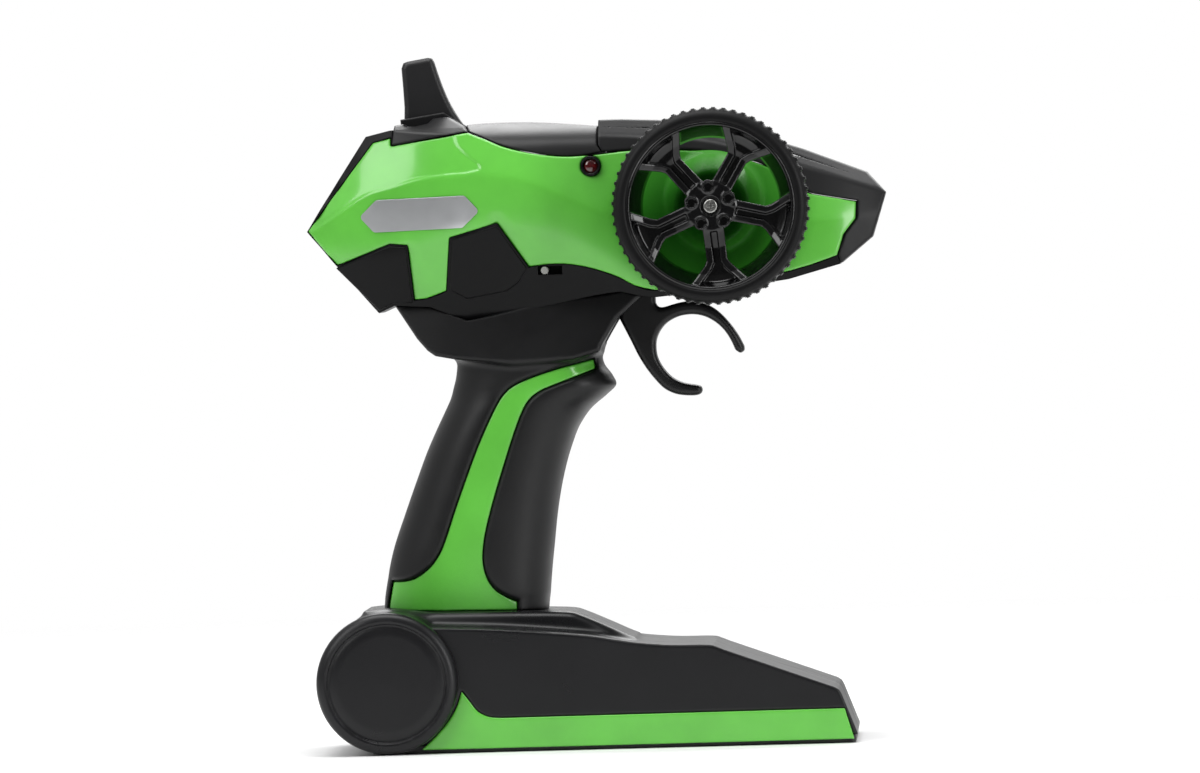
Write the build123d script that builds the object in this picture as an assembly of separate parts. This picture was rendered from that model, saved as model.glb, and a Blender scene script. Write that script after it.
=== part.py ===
from build123d import *
from build123d.topology import SkipClean
import math
import os

# Pistol-grip radio transmitter for model cars, in millimetres.
# Frame: origin at the centre of the flat foot, +X towards the muzzle, +Z up,
# the steering wheel on the right-hand side (-Y). Y = 0 is the clamshell seam.

# ---------------------------------------------------------------- dimensions
WALL = 2.0                # moulded wall of the shells
PANEL_T = 1.8             # coloured side panels
GAP = 0.12                # visual gap between mating mouldings
HEAD_WALL = 2.4           # head wall seen from the side
RUN = 0.05                # running clearance, radial

WHEEL_X, WHEEL_Z = 39.2, 153.9      # steering axis
WHEEL_R = 27.6            # tyre at the roots of the tread blocks
TREAD_H = 0.62
TREAD_N = 60
RIM_R = 24.2              # rim seat under the tyre
SPOKE_A = -84.5           # angle of the first spoke
WHEEL_Y0, WHEEL_Y1 = -34.0, -51.0   # inner and outer side of the tyre
SHAFT_R = 3.0

TRIG_X, TRIG_Z = 16.5, 139.0        # trigger pivot
TRIG_HALF = 5.2           # half thickness of the trigger
PIN_R = 1.5

DISC_X, DISC_Z, DISC_R = -57.2, 20.25, 20.2   # round rear end of the base
BASE_HALF = 34.0          # half width of the base at its side faces
PLATFORM_HALF = 21.0      # half width of the raised platform below the grip
DISC_HALF = 39.0          # half width over the two round side caps
FLOOR_T = 2.0
DOOR = (-13.4, 49.4, -30.4, 30.4)   # battery door x0, x1, y0, y1
DOOR_SCREW_X = 45.4
FLOOR_SCREWS = [(-54.0, -22.0), (-54.0, 22.0), (62.0, -22.0), (62.0, 22.0)]

CELL_R = 7.1              # AA cell
CELL_Y = (-21.6, -7.2, 7.2, 21.6)
CELL_Z = 9.35

LED_X, LED_Z = 4.7, 166.4
MODE_X, MODE_Z = -9.3, 136.9        # small side switch
SWITCH_X = 17.5           # power switch on the deck
TRIM_X, TRIM_Y = 38.5, 8.0          # trim dials on the deck

SKIN_CUTS = (-50.0, -25.0, 0.0, 25.0, 50.0)
SCREWS_HEAD = [(-61.0, 138.5), (-26.0, 139.5), (-62.0, 165.0), (-20.0, 164.0), (56.0, 141.0)]
SCREWS_GRIP = [(-24.0, 117.0), (-36.0, 82.0), (-34.0, 48.0)]
BOSS_R, SEAT_Y, PILOT_R, HEAD_R = 3.4, 7.0, 1.3, 2.6


# ------------------------------------------------------------------ helpers
def poly(pts):
    return make_face(Polyline(*[(a, b) for a, b in pts], close=True))


def outline(*segs):
    """Closed face from ('L', pts) polylines and ('S', pts) splines that share their end points."""
    edges = []
    for kind, pts in segs:
        if kind == "L":
            for p, q in zip(pts, pts[1:]):
                edges.append(Edge.make_line((p[0], p[1], 0), (q[0], q[1], 0)))
        else:
            edges.append(Edge.make_spline([Vector(a, b, 0) for a, b in pts]))
    f = Face(Wire(edges))
    if f.normal_at().Z < 0:
        f = -f
    return Sketch() + f


def plain(sketch):
    """The same faces with their curved edges rebuilt as simple splines."""
    out = Sketch()
    for f in sketch.faces():
        edges = []
        for e in f.outer_wire().edges():
            if e.geom_type in (GeomType.LINE, GeomType.CIRCLE, GeomType.BSPLINE):
                edges.append(e)
            else:
                n = max(6, min(30, int(e.length / 2.5) + 5))
                edges.append(Edge.make_spline([e.position_at(i / (n - 1)) for i in range(n)]))
        g = Face(Wire(edges))
        if g.normal_at().Z < 0:
            g = -g
        out += g
    return out


def grow(face, r):
    for kind in (Kind.INTERSECTION, Kind.ARC):
        try:
            out = plain(offset(face, amount=r, kind=kind))
            if out.area > 0 and (out.area > face.area) == (r > 0):
                return out
        except Exception as err:
            print("grow", r, kind, err, flush=True)
    print("offset failed", r, flush=True)
    return face


def rounded(face, r):
    return offset(offset(face, amount=-r, kind=Kind.INTERSECTION), amount=r, kind=Kind.ARC)


def pr(face, y0, y1):
    """Side-view face (x, z) extruded from y0 to y1."""
    return extrude(Plane.XZ.offset(-y0) * face, amount=abs(y1 - y0), dir=(0, 1 if y1 > y0 else -1, 0))


def cyl_y(x, z, r, y0, y1):
    return Pos(x, (y0 + y1) / 2, z) * Rot(90, 0, 0) * Cylinder(r, abs(y1 - y0))


def cyl_z(x, y, r, z0, z1):
    return Pos(x, y, (z0 + z1) / 2) * Cylinder(r, z1 - z0)


def cyl_x(y, z, r, x0, x1):
    return Pos((x0 + x1) / 2, y, z) * Rot(0, 90, 0) * Cylinder(r, x1 - x0)


def cone_y(x, z, r0, r1, y0, y1):
    """Cone of radius r0 at y0 and r1 at y1, y1 < y0."""
    return Pos(x, (y0 + y1) / 2, z) * Rot(90, 0, 0) * Cone(r0, r1, abs(y1 - y0))


def box(x0, x1, y0, y1, z0, z1):
    return Pos((x0 + x1) / 2, (y0 + y1) / 2, (z0 + z1) / 2) * Box(x1 - x0, y1 - y0, z1 - z0)


def flip(s):
    return mirror(s, about=Plane.XZ)


def soft(t, k):
    """Ramp that is 0 for t < 0 and t for t > 0, with a rounded corner of size k."""
    return 0.5 * (t + math.sqrt(t * t + k * k))


def interp(x, table):
    if x <= table[0][0]:
        return table[0][1]
    for (x0, v0), (x1, v1) in zip(table, table[1:]):
        if x <= x1:
            t = (x - x0) / (x1 - x0)
            t = t * t * (3 - 2 * t) * 0.35 + t * 0.65
            return v0 + (v1 - v0) * t
    return table[-1][1]


def try_fillet(shape, picker, radii):
    """Fillets the picked edges with the first radius that works."""
    for r in radii:
        try:
            edges = picker(shape)
            if not edges:
                return shape
            out = fillet(edges, r)
            if out.is_valid and out.volume > 0.5 * shape.volume:
                return out
        except Exception:
            pass
    print("no fillet", radii, flush=True)
    return shape


def only_solid(shape):
    """The biggest solid, dropping slivers."""
    return sorted(shape.solids(), key=lambda s: -s.volume)[0]


def save(name, *shapes):
    solids = []
    for s in shapes:
        solids += list(s.solids())
    solids = [s if s.is_valid else s.fix() for s in solids if s.volume > 0.02]
    out = Compound(children=solids) if len(solids) > 1 else solids[0]
    out.label = name
    export_step(out, f"parts/{name}.step")
    b = out.bounding_box()
    print(name, len(solids), round(sum(s.volume for s in solids), 1),
          [round(v, 1) for v in (b.min.X, b.min.Y, b.min.Z, b.max.X, b.max.Y, b.max.Z)], all(s.is_valid for s in solids), flush=True)


os.makedirs("parts", exist_ok=True)

# ------------------------------------------------------------- head surfaces
CREASE = [(-82, 147.5), (-77.5, 149.8), (-61, 159.6), (-51.2, 162.5), (-39, 164.2), (-26.8, 164.5), (-18, 163.7),
          (-9.2, 160.8), (2.7, 155.0), (12.8, 151.0), (35.6, 148.2), (67.4, 148.9), (80, 149.7), (95, 153)]
CREASE2 = [(-82, 143), (-50, 143), (-28.6, 149.5), (-15.4, 149.0), (-3.4, 146.0), (5.5, 141.4), (12.4, 137.0), (95, 134)]
HALF = [(-82, 17.5), (-77.5, 19), (-66, 23.5), (-52, 27), (-36, 29), (-20, 29.5), (0, 29), (20, 28), (40, 27),
        (60, 24.5), (76, 20.5), (88, 15.5), (95, 13.5)]


def half_width(x, z):
    h = interp(x, HALF)
    c = interp(x, CREASE)
    h -= 0.34 * soft(z - c, 2.2)
    h -= 0.07 * soft(c - z, 2.2)
    h -= 0.42 * soft(interp(x, CREASE2) - z, 2.2)
    return h


COWL_LINE = [(-82, 174.6), (20, 174.6), (36.5, 173.2), (60, 166.5), (84, 158.5), (95, 155)]


def dome_width(x, z):
    t = max(0.0, z - 169.5)
    return half_width(x, z) - 0.35 - 0.0019 * t ** 4


def side_region(fn, off, x0=-84.0, x1=95.0, z0=104.0, z1=192.0, nx=44, nz=26):
    """Everything outside the right-hand skin y = -(fn + off)."""
    pts = []
    for i in range(nx):
        x = x0 + (x1 - x0) * i / (nx - 1)
        pts.append([Vector(x, -(fn(x, z0 + (z1 - z0) * j / (nz - 1)) + off), z0 + (z1 - z0) * j / (nz - 1)) for j in range(nz)])
    skin = Face.make_surface_from_array_of_points(pts, tol=0.02, min_deg=3, max_deg=3)
    return Solid.extrude(skin, Vector(0, -90, 0))


SKIN = side_region(half_width, 0.0)               # beyond the visible skin
UNDER = side_region(half_width, -PANEL_T)         # beyond the seat of the side panels
UNDER_GAP = side_region(half_width, -PANEL_T + 0.1)
INNER = side_region(half_width, -PANEL_T - WALL)  # beyond the cavity
COWL_SKIN = side_region(half_width, -0.35)
DOME_SKIN = side_region(dome_width, 0.0, x0=-40, x1=14, z0=160, z1=181.5, nx=24, nz=24)
DOME_INNER = side_region(dome_width, -2.3, x0=-40, x1=14, z0=160, z1=181.5, nx=24, nz=24)
SKIN_L, UNDER_L, INNER_L, COWL_SKIN_L, DOME_SKIN_L, DOME_INNER_L = (flip(v) for v in (SKIN, UNDER, INNER, COWL_SKIN, DOME_SKIN, DOME_INNER))
print("skins", flush=True)

# ------------------------------------------------------------- head outlines
head_face = outline(
    ("L", [(-77.5, 149.8), (-72.7, 157.2), (-59.8, 176.6), (-52.7, 178.2), (-36, 179.0), (-31.5, 179.3)]),
    ("S", [(-31.5, 179.3), (-26.5, 179.7), (-17.5, 179.8), (-8.5, 179.4), (6.8, 178.0)]),
    ("L", [(6.8, 178.0), (6.8, 179.7), (13.6, 179.7), (24.2, 179.2), (36.5, 178.0), (47.8, 175.7), (65.4, 169.8),
           (83.5, 162.7), (88.8, 156.7), (84.7, 144.0), (75.3, 136.4), (60.4, 132.4), (40.8, 129.9), (22.2, 128.3),
           (17.9, 128.8), (12.3, 130.2)]),
    ("S", [(12.3, 130.2), (4.0, 129.2), (-5.0, 127.5), (-18, 125.2), (-32.3, 123.1)]),
    ("L", [(-32.3, 123.1), (-43.0, 127.3), (-53.0, 127.9), (-57.6, 125.9), (-77.5, 149.8)]),
)
cowl_face = outline(
    ("L", [(6.8, 179.7), (13.6, 179.7), (24.2, 179.2), (36.5, 178.0), (47.8, 175.7), (65.4, 169.8), (83.5, 162.7),
           (88.8, 156.7), (84.7, 144.0), (75.3, 136.4), (74.6, 139.2), (76.7, 144.9), (80.3, 149.4), (80.6, 154.4),
           (67.6, 156.8), (63.4, 158.8), (56.9, 163.9)]),
    ("S", [(56.9, 163.9), (51.8, 166.3), (45, 168.1), (39.6, 169.5), (31.7, 170.3), (22, 170.8), (13.4, 170.5), (8.0, 170.3)]),
    ("L", [(8.0, 170.3), (6.8, 172.4), (6.8, 179.7)]),
)
dome_face = outline(
    ("S", [(-31.5, 179.3), (-26.5, 179.7), (-17.5, 179.8), (-8.5, 179.4), (6.6, 178.0)]),
    ("L", [(6.6, 178.0), (6.6, 172.3), (7.8, 170.3)]),
    ("S", [(7.8, 170.3), (3.2, 169.6), (-3.4, 169.5), (-10, 170.3), (-15.9, 171.5), (-20.7, 173.0), (-24.9, 174.9), (-30.2, 177.1)]),
    ("L", [(-30.2, 177.1), (-31.5, 179.3)]),
)
fairing_face = outline(
    ("L", [(-52.3, 173.85), (-51.6, 179.6), (-49.1, 180.0), (-48.2, 179.3), (-45.5, 179.2), (-42.1, 180.0), (-40.7, 181.4),
           (-37.2, 181.7), (-36.0, 181.5), (-31.7, 178.9), (-30.5, 177.15), (-52.3, 173.85)]),
)
panel_face = outline(
    ("L", [(-77.2, 149.9), (-69.0, 139.9), (-53.4, 145.7), (-48.3, 145.2), (-47.2, 129.4)]),
    ("S", [(-47.2, 129.4), (-43.6, 129.8), (-37.8, 131.8)]),
    ("L", [(-37.8, 131.8), (-36.2, 147.0), (-22.5, 150.8), (-13.9, 137.9)]),
    ("S", [(-13.9, 137.9), (-9.7, 138.5), (-3.6, 138.6), (2.3, 137.6), (8.3, 135.8), (12.4, 134.1), (16.9, 131.7), (22.4, 130.4)]),
    ("S", [(22.4, 130.4), (40.9, 131.9), (61.0, 134.9), (74.4, 138.9)]),
    ("L", [(74.4, 138.9), (76.4, 144.9), (80.0, 149.4), (80.3, 154.2), (67.5, 156.6)]),
    ("S", [(67.5, 156.6), (63.2, 158.6), (56.8, 163.7)]),
    ("S", [(56.8, 163.7), (51.7, 166.1), (45.0, 167.9), (39.6, 169.3), (31.7, 170.1), (22.0, 170.6), (13.4, 170.3),
           (3.2, 169.4), (-3.4, 169.3), (-10.0, 170.1), (-15.9, 171.3), (-20.8, 172.8), (-25.0, 174.7), (-30.3, 176.9)]),
    ("L", [(-30.3, 176.9), (-52.5, 173.6), (-52.5, 176.1), (-57.7, 174.8), (-72.2, 156.3), (-77.2, 149.9)]),
)

shell_face = head_face - grow(cowl_face, GAP) - grow(dome_face, GAP) - grow(fairing_face, GAP)
cavity = pr(grow(head_face, -HEAD_WALL), -45, 45) - INNER - INNER_L
print("faces", flush=True)

# openings along the centre of the head
slot_trigger = box(3.0, 43.0, -7.0, 7.0, 117.0, 133.5)
neck_mouth = box(-40.0, 2.0, -14.0, 14.0, 118.0, 133.0)
panel_recess = pr(grow(panel_face, GAP), -1, -60) & UNDER


def boss_reach(x, z, r):
    """Length of an inner post of radius r that stays just under the seat of the side panels."""
    ring = [half_width(x + r * math.cos(a), z + r * math.sin(a)) for a in [math.pi * i / 8 for i in range(16)]]
    return min(ring) - PANEL_T - 0.2


def banded(s, cuts):
    """The same solid with its long skins divided into bands along X."""
    ends = [-100] + list(cuts) + [100]
    bands = []
    for a, b in zip(ends, ends[1:]):
        bands += list((s & (Pos((a + b) / 2, 0, 150) * Box(b - a, 120, 120))).solids())
    with SkipClean():
        joined = Part() + bands
    joined = only_solid(joined)
    return joined if joined.is_valid and abs(joined.volume - s.volume) < 0.02 * s.volume else s


def shell_half(sign):
    s = pr(shell_face, 0, -45) - SKIN
    s = s - panel_recess
    s = s - cavity
    if sign > 0:
        s = flip(s)
    add, cut = [], []
    for x, z in SCREWS_HEAD:
        wall = boss_reach(x, z, BOSS_R + 0.8)
        if sign < 0:
            add.append(cyl_y(x, z, BOSS_R, -wall, 0))
            cut.append(cyl_y(x, z, PILOT_R, -9.5, 0.1))
        else:
            add.append(cyl_y(x, z, BOSS_R + 0.8, 0, wall))
            cut.append(cyl_y(x, z, HEAD_R + 0.35, SEAT_Y, 45))
            cut.append(cyl_y(x, z, PILOT_R + 0.2, -0.1, SEAT_Y + 0.1))
    tw = boss_reach(TRIG_X, TRIG_Z, 4.5)
    if sign < 0:
        # pivot boss of the trigger, holes of the steering bush, lamp and side switch
        add.append(cyl_y(TRIG_X, TRIG_Z, 3.6, -tw, -TRIG_HALF - 0.5))
        cut.append(cyl_y(TRIG_X, TRIG_Z, PIN_R + 0.02, -12.5, 0))
        cut.append(cyl_y(WHEEL_X, WHEEL_Z, 5.05, -60, -10))
        cut.append(cyl_y(LED_X, LED_Z, 2.4, -60, -10))
        cut.append(box(MODE_X - 2.0, MODE_X + 5.0, -60, -10, MODE_Z - 1.25, MODE_Z + 1.25))
    else:
        # posts for the throttle potentiometer, the board and the steering mechanism
        add.append(cyl_y(TRIG_X, TRIG_Z, 4.5, 13.7, tw))
        for x, z in [(-47.0, 140.0), (-1.0, 141.0), (-47.0, 155.5), (-1.0, 155.5)]:
            add.append(cyl_y(x, z, 2.6, 13.7, boss_reach(x, z, 2.6)))
        for x, z in [(27.0, 149.0), (49.0, 149.5), (27.0, 162.0), (48.0, 161.0)]:
            add.append(cyl_y(x, z, 2.6, 6.3, boss_reach(x, z, 2.6)))
    s = s + add
    s = s - cut - slot_trigger - neck_mouth
    return banded(only_solid(s), SKIN_CUTS)


save("head_shell_right", shell_half(-1))
save("head_shell_left", shell_half(1))

# -------------------------------------------------------------- side panels
panel = (pr(panel_face, -2, -60) & UNDER_GAP) - SKIN
panel = only_solid(panel)
panel_left = flip(panel)
for x, z in SCREWS_HEAD:
    panel_left = panel_left - cyl_y(x, z, HEAD_R + 0.6, 5, 60)
wy = half_width(WHEEL_X, WHEEL_Z)
boss = cone_y(WHEEL_X, WHEEL_Z, 13.6, 10.2, -(wy - 2.4), -32.6)
boss = try_fillet(boss, lambda s: s.edges().sort_by(Axis.Y)[:1], [1.4, 1.0, 0.6])
boss = boss & UNDER_GAP
panel_right = Part() + panel + boss - cyl_y(WHEEL_X, WHEEL_Z, 5.1, -60, -5)
panel_right = panel_right - cyl_y(LED_X, LED_Z, 2.85, -60, -5)
save("side_panel_right", only_solid(panel_right))
save("side_panel_left", only_solid(panel_left))

# --------------------------------------------------- front cowl and top dome
def slope_section(x, y_side=60.0, z_top=200.0, lean=1.7):
    zl = interp(x, COWL_LINE)
    w = half_width(x, zl) - 0.35
    return Wire.make_polygon([(x, -w, zl), (x, -w + lean * (z_top - zl), z_top), (x, -y_side, z_top), (x, -y_side, zl)], close=True)


slope = Solid.make_loft([slope_section(x) for x in (2.0, 20.0, 36.5, 60.0, 84.0, 94.0)], ruled=True)
cowl = pr(cowl_face, -45, 45) - COWL_SKIN - COWL_SKIN_L - cavity
cowl = cowl - slope - flip(slope)
cowl = cowl - box(SWITCH_X - 4.0, SWITCH_X + 4.0, -2.0, 2.0, 170, 185) - box(SWITCH_X - 6.0, SWITCH_X + 6.0, -3.6, 3.6, 178.6, 185)
for sy in (-1, 1):
    cowl = cowl - cyl_z(TRIM_X, sy * TRIM_Y, 5.4, 170, 185)
for k in range(3):
    cowl = cowl - box(83.0, 95.0, -7.5, 7.5, 147.6 + 3.2 * k, 149.2 + 3.2 * k)
save("front_cowl", only_solid(cowl))

dome = pr(dome_face, -40, 40) - DOME_SKIN - DOME_SKIN_L - (cavity - DOME_INNER - DOME_INNER_L)
save("top_cover", only_solid(dome))

# ------------------------------------------------------------------ antenna
saddle = extrude(Plane.YZ.offset(-60) * poly([(-30, 170), (-30, 174.5), (-21.0, 178.4), (-13.0, 181.2), (-11.0, 182.5), (11.0, 182.5), (13.0, 181.2),
                                               (21.0, 178.4), (30, 174.5), (30, 170)]), amount=40)
fairing = (pr(fairing_face, -40, 40) & saddle) - SKIN - SKIN_L - cavity
fairing = fairing - box(-50.6, -30.0, -5.6, 5.6, 178.0, 190.0) - cyl_z(-42.0, 0, 1.3, 170, 185)
save("antenna_fairing", only_solid(fairing))

collar = pr(poly([(-50.2, 178.1), (-50.5, 181.4), (-38.0, 183.2), (-33.6, 180.2), (-32.6, 178.7), (-32.9, 178.1)]), -5.4, 5.4)
collar = collar - box(-49.9, -20, -3.95, 3.95, 179.2, 190) - cyl_z(-42.0, 0, 1.3, 170, 185)
save("antenna_collar", only_solid(collar))

fin_face = outline(
    ("L", [(-49.5, 179.3), (-49.3, 185.0)]),
    ("S", [(-49.3, 185.0), (-49.55, 190.5), (-49.9, 196.2)]),
    ("S", [(-49.9, 196.2), (-49.3, 197.7), (-47.9, 198.2)]),
    ("L", [(-47.9, 198.2), (-42.2, 199.1)]),
    ("S", [(-42.2, 199.1), (-41.1, 198.9), (-40.5, 197.8)]),
    ("S", [(-40.5, 197.8), (-39.5, 194.4), (-38.2, 190.5), (-36.6, 186.5), (-34.7, 182.9), (-32.4, 179.3)]),
    ("L", [(-32.4, 179.3), (-49.5, 179.3)]),
)
fin = pr(fin_face, -3.8, 3.8)
fin = try_fillet(fin, lambda s: [e for e in s.edges() if e.bounding_box().size.Y < 0.5 and e.center().Z > 180.5], [1.5, 1.1, 0.7, 0.4])
fin = fin - cyl_z(-42.0, 0, 1.1, 175, 194)
save("antenna_fin", only_solid(fin))
save("antenna_wire", cyl_z(-42.0, 0, 0.8, 163.0, 193.0))

# ---------------------------------------------------------------- indicator
bezel = cyl_y(LED_X, LED_Z, 2.8, -26.0, -20.0) - cyl_y(LED_X, LED_Z, 2.15, -30, -15)
bezel = bezel & UNDER_GAP
save("led_bezel", only_solid(bezel))
lens = cyl_y(LED_X, LED_Z, 2.1, -24.9, -17.4) + Pos(LED_X, -24.9, LED_Z) * scale(Sphere(2.1), by=(1, 0.5, 1)) + cyl_y(LED_X, LED_Z, 3.2, -18.4, -17.4)
save("led_lens", only_solid(lens))

# ------------------------------------------------------------- name plates
plate_face = rounded(poly([(-62.0, 153.6), (-57.0, 158.3), (-31.5, 158.9), (-27.4, 154.4), (-32.4, 149.7), (-57.9, 149.1)]), 1.2)
plate = (pr(plate_face, -2, -60) & side_region(half_width, 0.03)) - side_region(half_width, 0.55)
save("name_plate_right", only_solid(plate))
save("name_plate_left", flip(only_solid(plate)))
print("head done", flush=True)

# ------------------------------------------------------------- steering
bush = cyl_y(WHEEL_X, WHEEL_Z, 5.0, -32.2, -17.2) + cyl_y(WHEEL_X, WHEEL_Z, 6.6, -18.7, -17.2)
bush = bush - cyl_y(WHEEL_X, WHEEL_Z, SHAFT_R + RUN, -60, 0)
save("shaft_bush", only_solid(bush))
shaft = cyl_y(WHEEL_X, WHEEL_Z, SHAFT_R, -45.0, -5.0) + cyl_y(WHEEL_X, WHEEL_Z, 2.0, -5.0, 1.5)
shaft = shaft - cyl_y(WHEEL_X, WHEEL_Z, 1.1, -46, -36)
save("steering_shaft", only_solid(shaft))
arm = cyl_y(WHEEL_X, WHEEL_Z, 6.0, -11.0, -8.0) + box(WHEEL_X - 1.6, WHEEL_X + 1.6, -11.0, -8.0, WHEEL_Z - 10.5, WHEEL_Z)
arm = arm + cyl_y(WHEEL_X, WHEEL_Z - 9.0, 1.5, -16.0, -8.0)
arm = arm - cyl_y(WHEEL_X, WHEEL_Z, SHAFT_R, -20, 0)
save("steering_return_arm", only_solid(arm))
pot = cyl_y(WHEEL_X, WHEEL_Z, 8.2, -3.8, 3.0) + box(WHEEL_X - 4.5, WHEEL_X + 4.5, -1.0, 3.0, WHEEL_Z - 12.5, WHEEL_Z)
pot = pot + cyl_y(WHEEL_X, WHEEL_Z, 4.0, -4.8, -3.8) - cyl_y(WHEEL_X, WHEEL_Z, 2.0 + RUN, -6, 2.0)
save("steering_potentiometer", only_solid(pot))
frame = box(24.0, 53.0, 3.1, 6.2, 145.6, 165.0)
frame = try_fillet(frame, lambda s: s.edges().filter_by(Axis.Y), [2.0])
frame = frame - box(WHEEL_X - 10.5, WHEEL_X + 8.0, 4.6, 7.0, WHEEL_Z - 4.0, WHEEL_Z + 6.0)
frame = frame + cyl_y(WHEEL_X + 11.0, WHEEL_Z - 6.5, 2.0, -16.0, 3.2)
save("mechanism_frame", only_solid(frame))


def torsion_spring(x, z, r, wire, y0, turns, pitch, leg_dir, leg_len):
    """Coil about a Y axis with a straight leg at each end."""
    path = Helix(pitch=pitch, height=pitch * turns, radius=r)
    start, end, t0, t1 = path @ 0, path @ 1, path % 0, path % 1
    s = sweep(Plane(origin=start, z_dir=t0) * Circle(wire), path=path, is_frenet=True)
    s = s + extrude(Plane(origin=end, z_dir=Vector(t1.X, t1.Y, 0)) * Circle(wire), amount=leg_len)
    s = s + extrude(Plane(origin=start, z_dir=Vector(-t0.X, -t0.Y, 0)) * Circle(wire), amount=leg_len)
    return Pos(x, y0, z) * Rot(90, 0, 0) * Rot(0, 0, leg_dir) * s


save("steering_spring", torsion_spring(WHEEL_X, WHEEL_Z, 5.2, 0.4, -12.2, 3.0, 1.15, 25, 8.4))

# ---- steering wheel: rubber tyre, five split-spoke rim, screw.
# Local frame: z points to the outer side, z = 0 half way across the tyre.
o = (WHEEL_Y0 - WHEEL_Y1) / 2
put = Pos(WHEEL_X, (WHEEL_Y0 + WHEEL_Y1) / 2, WHEEL_Z) * Rot(90, 0, 0)
prof = Polyline((RIM_R, -o + 0.9), (RIM_R + 0.7, -o + 0.1), (26.0, -o), (27.0, -o + 0.8), (WHEEL_R, -o + 2.3),
                (WHEEL_R, o - 2.3), (27.0, o - 0.8), (26.0, o), (RIM_R + 0.7, o - 0.1), (RIM_R, o - 0.9), close=True)
ring = revolve(Plane.XZ * make_face(prof), axis=Axis.Z)
lug = Pos(WHEEL_R - 0.3 + TREAD_H / 2, 0, 0) * Box(TREAD_H + 0.6, 1.15, 2 * o - 4.4)
tyre = ring + [Rot(0, 0, 360.0 * i / TREAD_N) * lug for i in range(TREAD_N)]
save("wheel_tyre", only_solid(put * tyre))

bar = Polyline((RIM_R - 0.02, -o + 1.2), (RIM_R - 0.02, o - 0.9), (RIM_R - 0.6, o - 0.2), (RIM_R - 1.6, o - 0.2), (RIM_R - 2.4, o - 1.6),
               (RIM_R - 4.6, o - 7.5), (RIM_R - 5.2, o - 11.0), (RIM_R - 4.2, -o + 2.0), (RIM_R - 3.0, -o + 1.2), close=True)
rim = revolve(Plane.XZ * make_face(bar), axis=Axis.Z)
spoke2d = make_face(Polyline((4.0, -3.6), (14.2, -2.9), (18.0, -6.4), (20.6, -8.2), (21.5, -6.2), (21.9, 0), (21.5, 6.2), (20.6, 8.2),
                             (18.0, 6.4), (14.2, 2.9), (4.0, 3.6), close=True))
groove2d = make_face(Polyline((7.4, -1.3), (15.0, -1.0), (21.0, -4.6), (21.6, 0), (21.0, 4.6), (15.0, 1.0), (7.4, 1.3), close=True))
spoke = Pos(0, 0, o - 8.6) * extrude(spoke2d, amount=6.6) - Pos(0, 0, o - 4.6) * extrude(groove2d, amount=6)
rim = rim + [Rot(0, 0, SPOKE_A + 72 * k) * spoke for k in range(5)]
dish = make_face(Polyline((8.2, o - 2.6), (9.2, o - 3.2), (21.0, o - 2.0), (RIM_R - 2.3, o - 1.7), (RIM_R - 2.3, o + 3), (8.2, o + 3), close=True))
rim = rim - revolve(Plane.XZ * dish, axis=Axis.Z)
hub = Pos(0, 0, 2.5) * Cylinder(8.0, 8.0)
hub = try_fillet(hub, lambda s: s.edges().sort_by(Axis.Z)[-1:], [0.8])
rim = rim + hub + Pos(0, 0, o - 10.5) * Cylinder(5.6, 9.0)
cuts = [Pos(0, 0, 6.7) * Cylinder(2.7, 3.0), Pos(0, 0, 2.0) * Cylinder(1.35, 16), Pos(0, 0, -4.0) * Cylinder(SHAFT_R, 13.0)]
for k in range(5):
    a = math.radians(SPOKE_A + 36 + 72 * k)
    cuts.append(Pos(5.4 * math.cos(a), 5.4 * math.sin(a), o - 2.4) * Cylinder(1.3, 2.6))
rim = rim - cuts
save("steering_wheel_rim", only_solid(put * rim))
scr = Pos(0, 0, 5.8) * Cylinder(2.0, 1.16)
scr = try_fillet(scr, lambda s: s.edges().sort_by(Axis.Z)[-1:], [0.45])
scr = scr + Pos(0, 0, 0.8) * Cylinder(1.05, 9.0) - Pos(0, 0, 6.1) * Box(2.3, 0.5, 1.0) - Pos(0, 0, 6.1) * Box(0.5, 2.3, 1.0)
save("wheel_screw", only_solid(put * scr))
print("wheel done", flush=True)

# ------------------------------------------------------------------ trigger
trig_face = outline(
    ("L", [(21.5, TRIG_Z), (21.5, 126.6)]),
    ("S", [(21.5, 126.6), (22.2, 125.5), (23.8, 125.3), (28.0, 126.4), (31.2, 126.8), (34.1, 126.4), (37.3, 125.2), (40.2, 123.0),
           (43.0, 119.8), (45.2, 116.5), (46.7, 113.5)]),
    ("S", [(46.7, 113.5), (46.7, 112.2), (45.6, 111.5), (44.2, 112.4)]),
    ("S", [(44.2, 112.4), (42.9, 115.4), (41.2, 118.1), (38.9, 120.4), (36.1, 122.1), (33.2, 122.9), (30.2, 122.9), (27.3, 122.2), (24.6, 120.7),
           (22.7, 118.6), (21.6, 116.3), (21.3, 114.2), (21.5, 111.6), (22.4, 109.2), (24.0, 106.8), (26.2, 104.7), (29.1, 103.3), (32.2, 102.7)]),
    ("S", [(32.2, 102.7), (33.9, 102.2), (34.3, 100.9), (33.6, 99.9), (31.9, 99.6)]),
    ("S", [(31.9, 99.6), (29.6, 99.7), (26.7, 100.2), (23.8, 101.6), (21.5, 103.8), (18.7, 107.4), (16.2, 111.6), (14.2, 115.9), (11.0, 122.5)]),
    ("L", [(11.0, 122.5), (11.0, TRIG_Z), (21.5, TRIG_Z)]),
)
trig = pr(trig_face, -TRIG_HALF, TRIG_HALF)
trig = try_fillet(trig, lambda s: [e for e in s.edges() if e.bounding_box().size.Y < 0.2 and e.center().Z < 127.0 and e.bounding_box().size.Z < 26], [1.5, 1.0, 0.6, 0.3])
trig = trig + cyl_y(TRIG_X, TRIG_Z, 5.25, -TRIG_HALF, TRIG_HALF) + cyl_y(TRIG_X, TRIG_Z, 2.0, TRIG_HALF - 0.5, 10.0)
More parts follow.
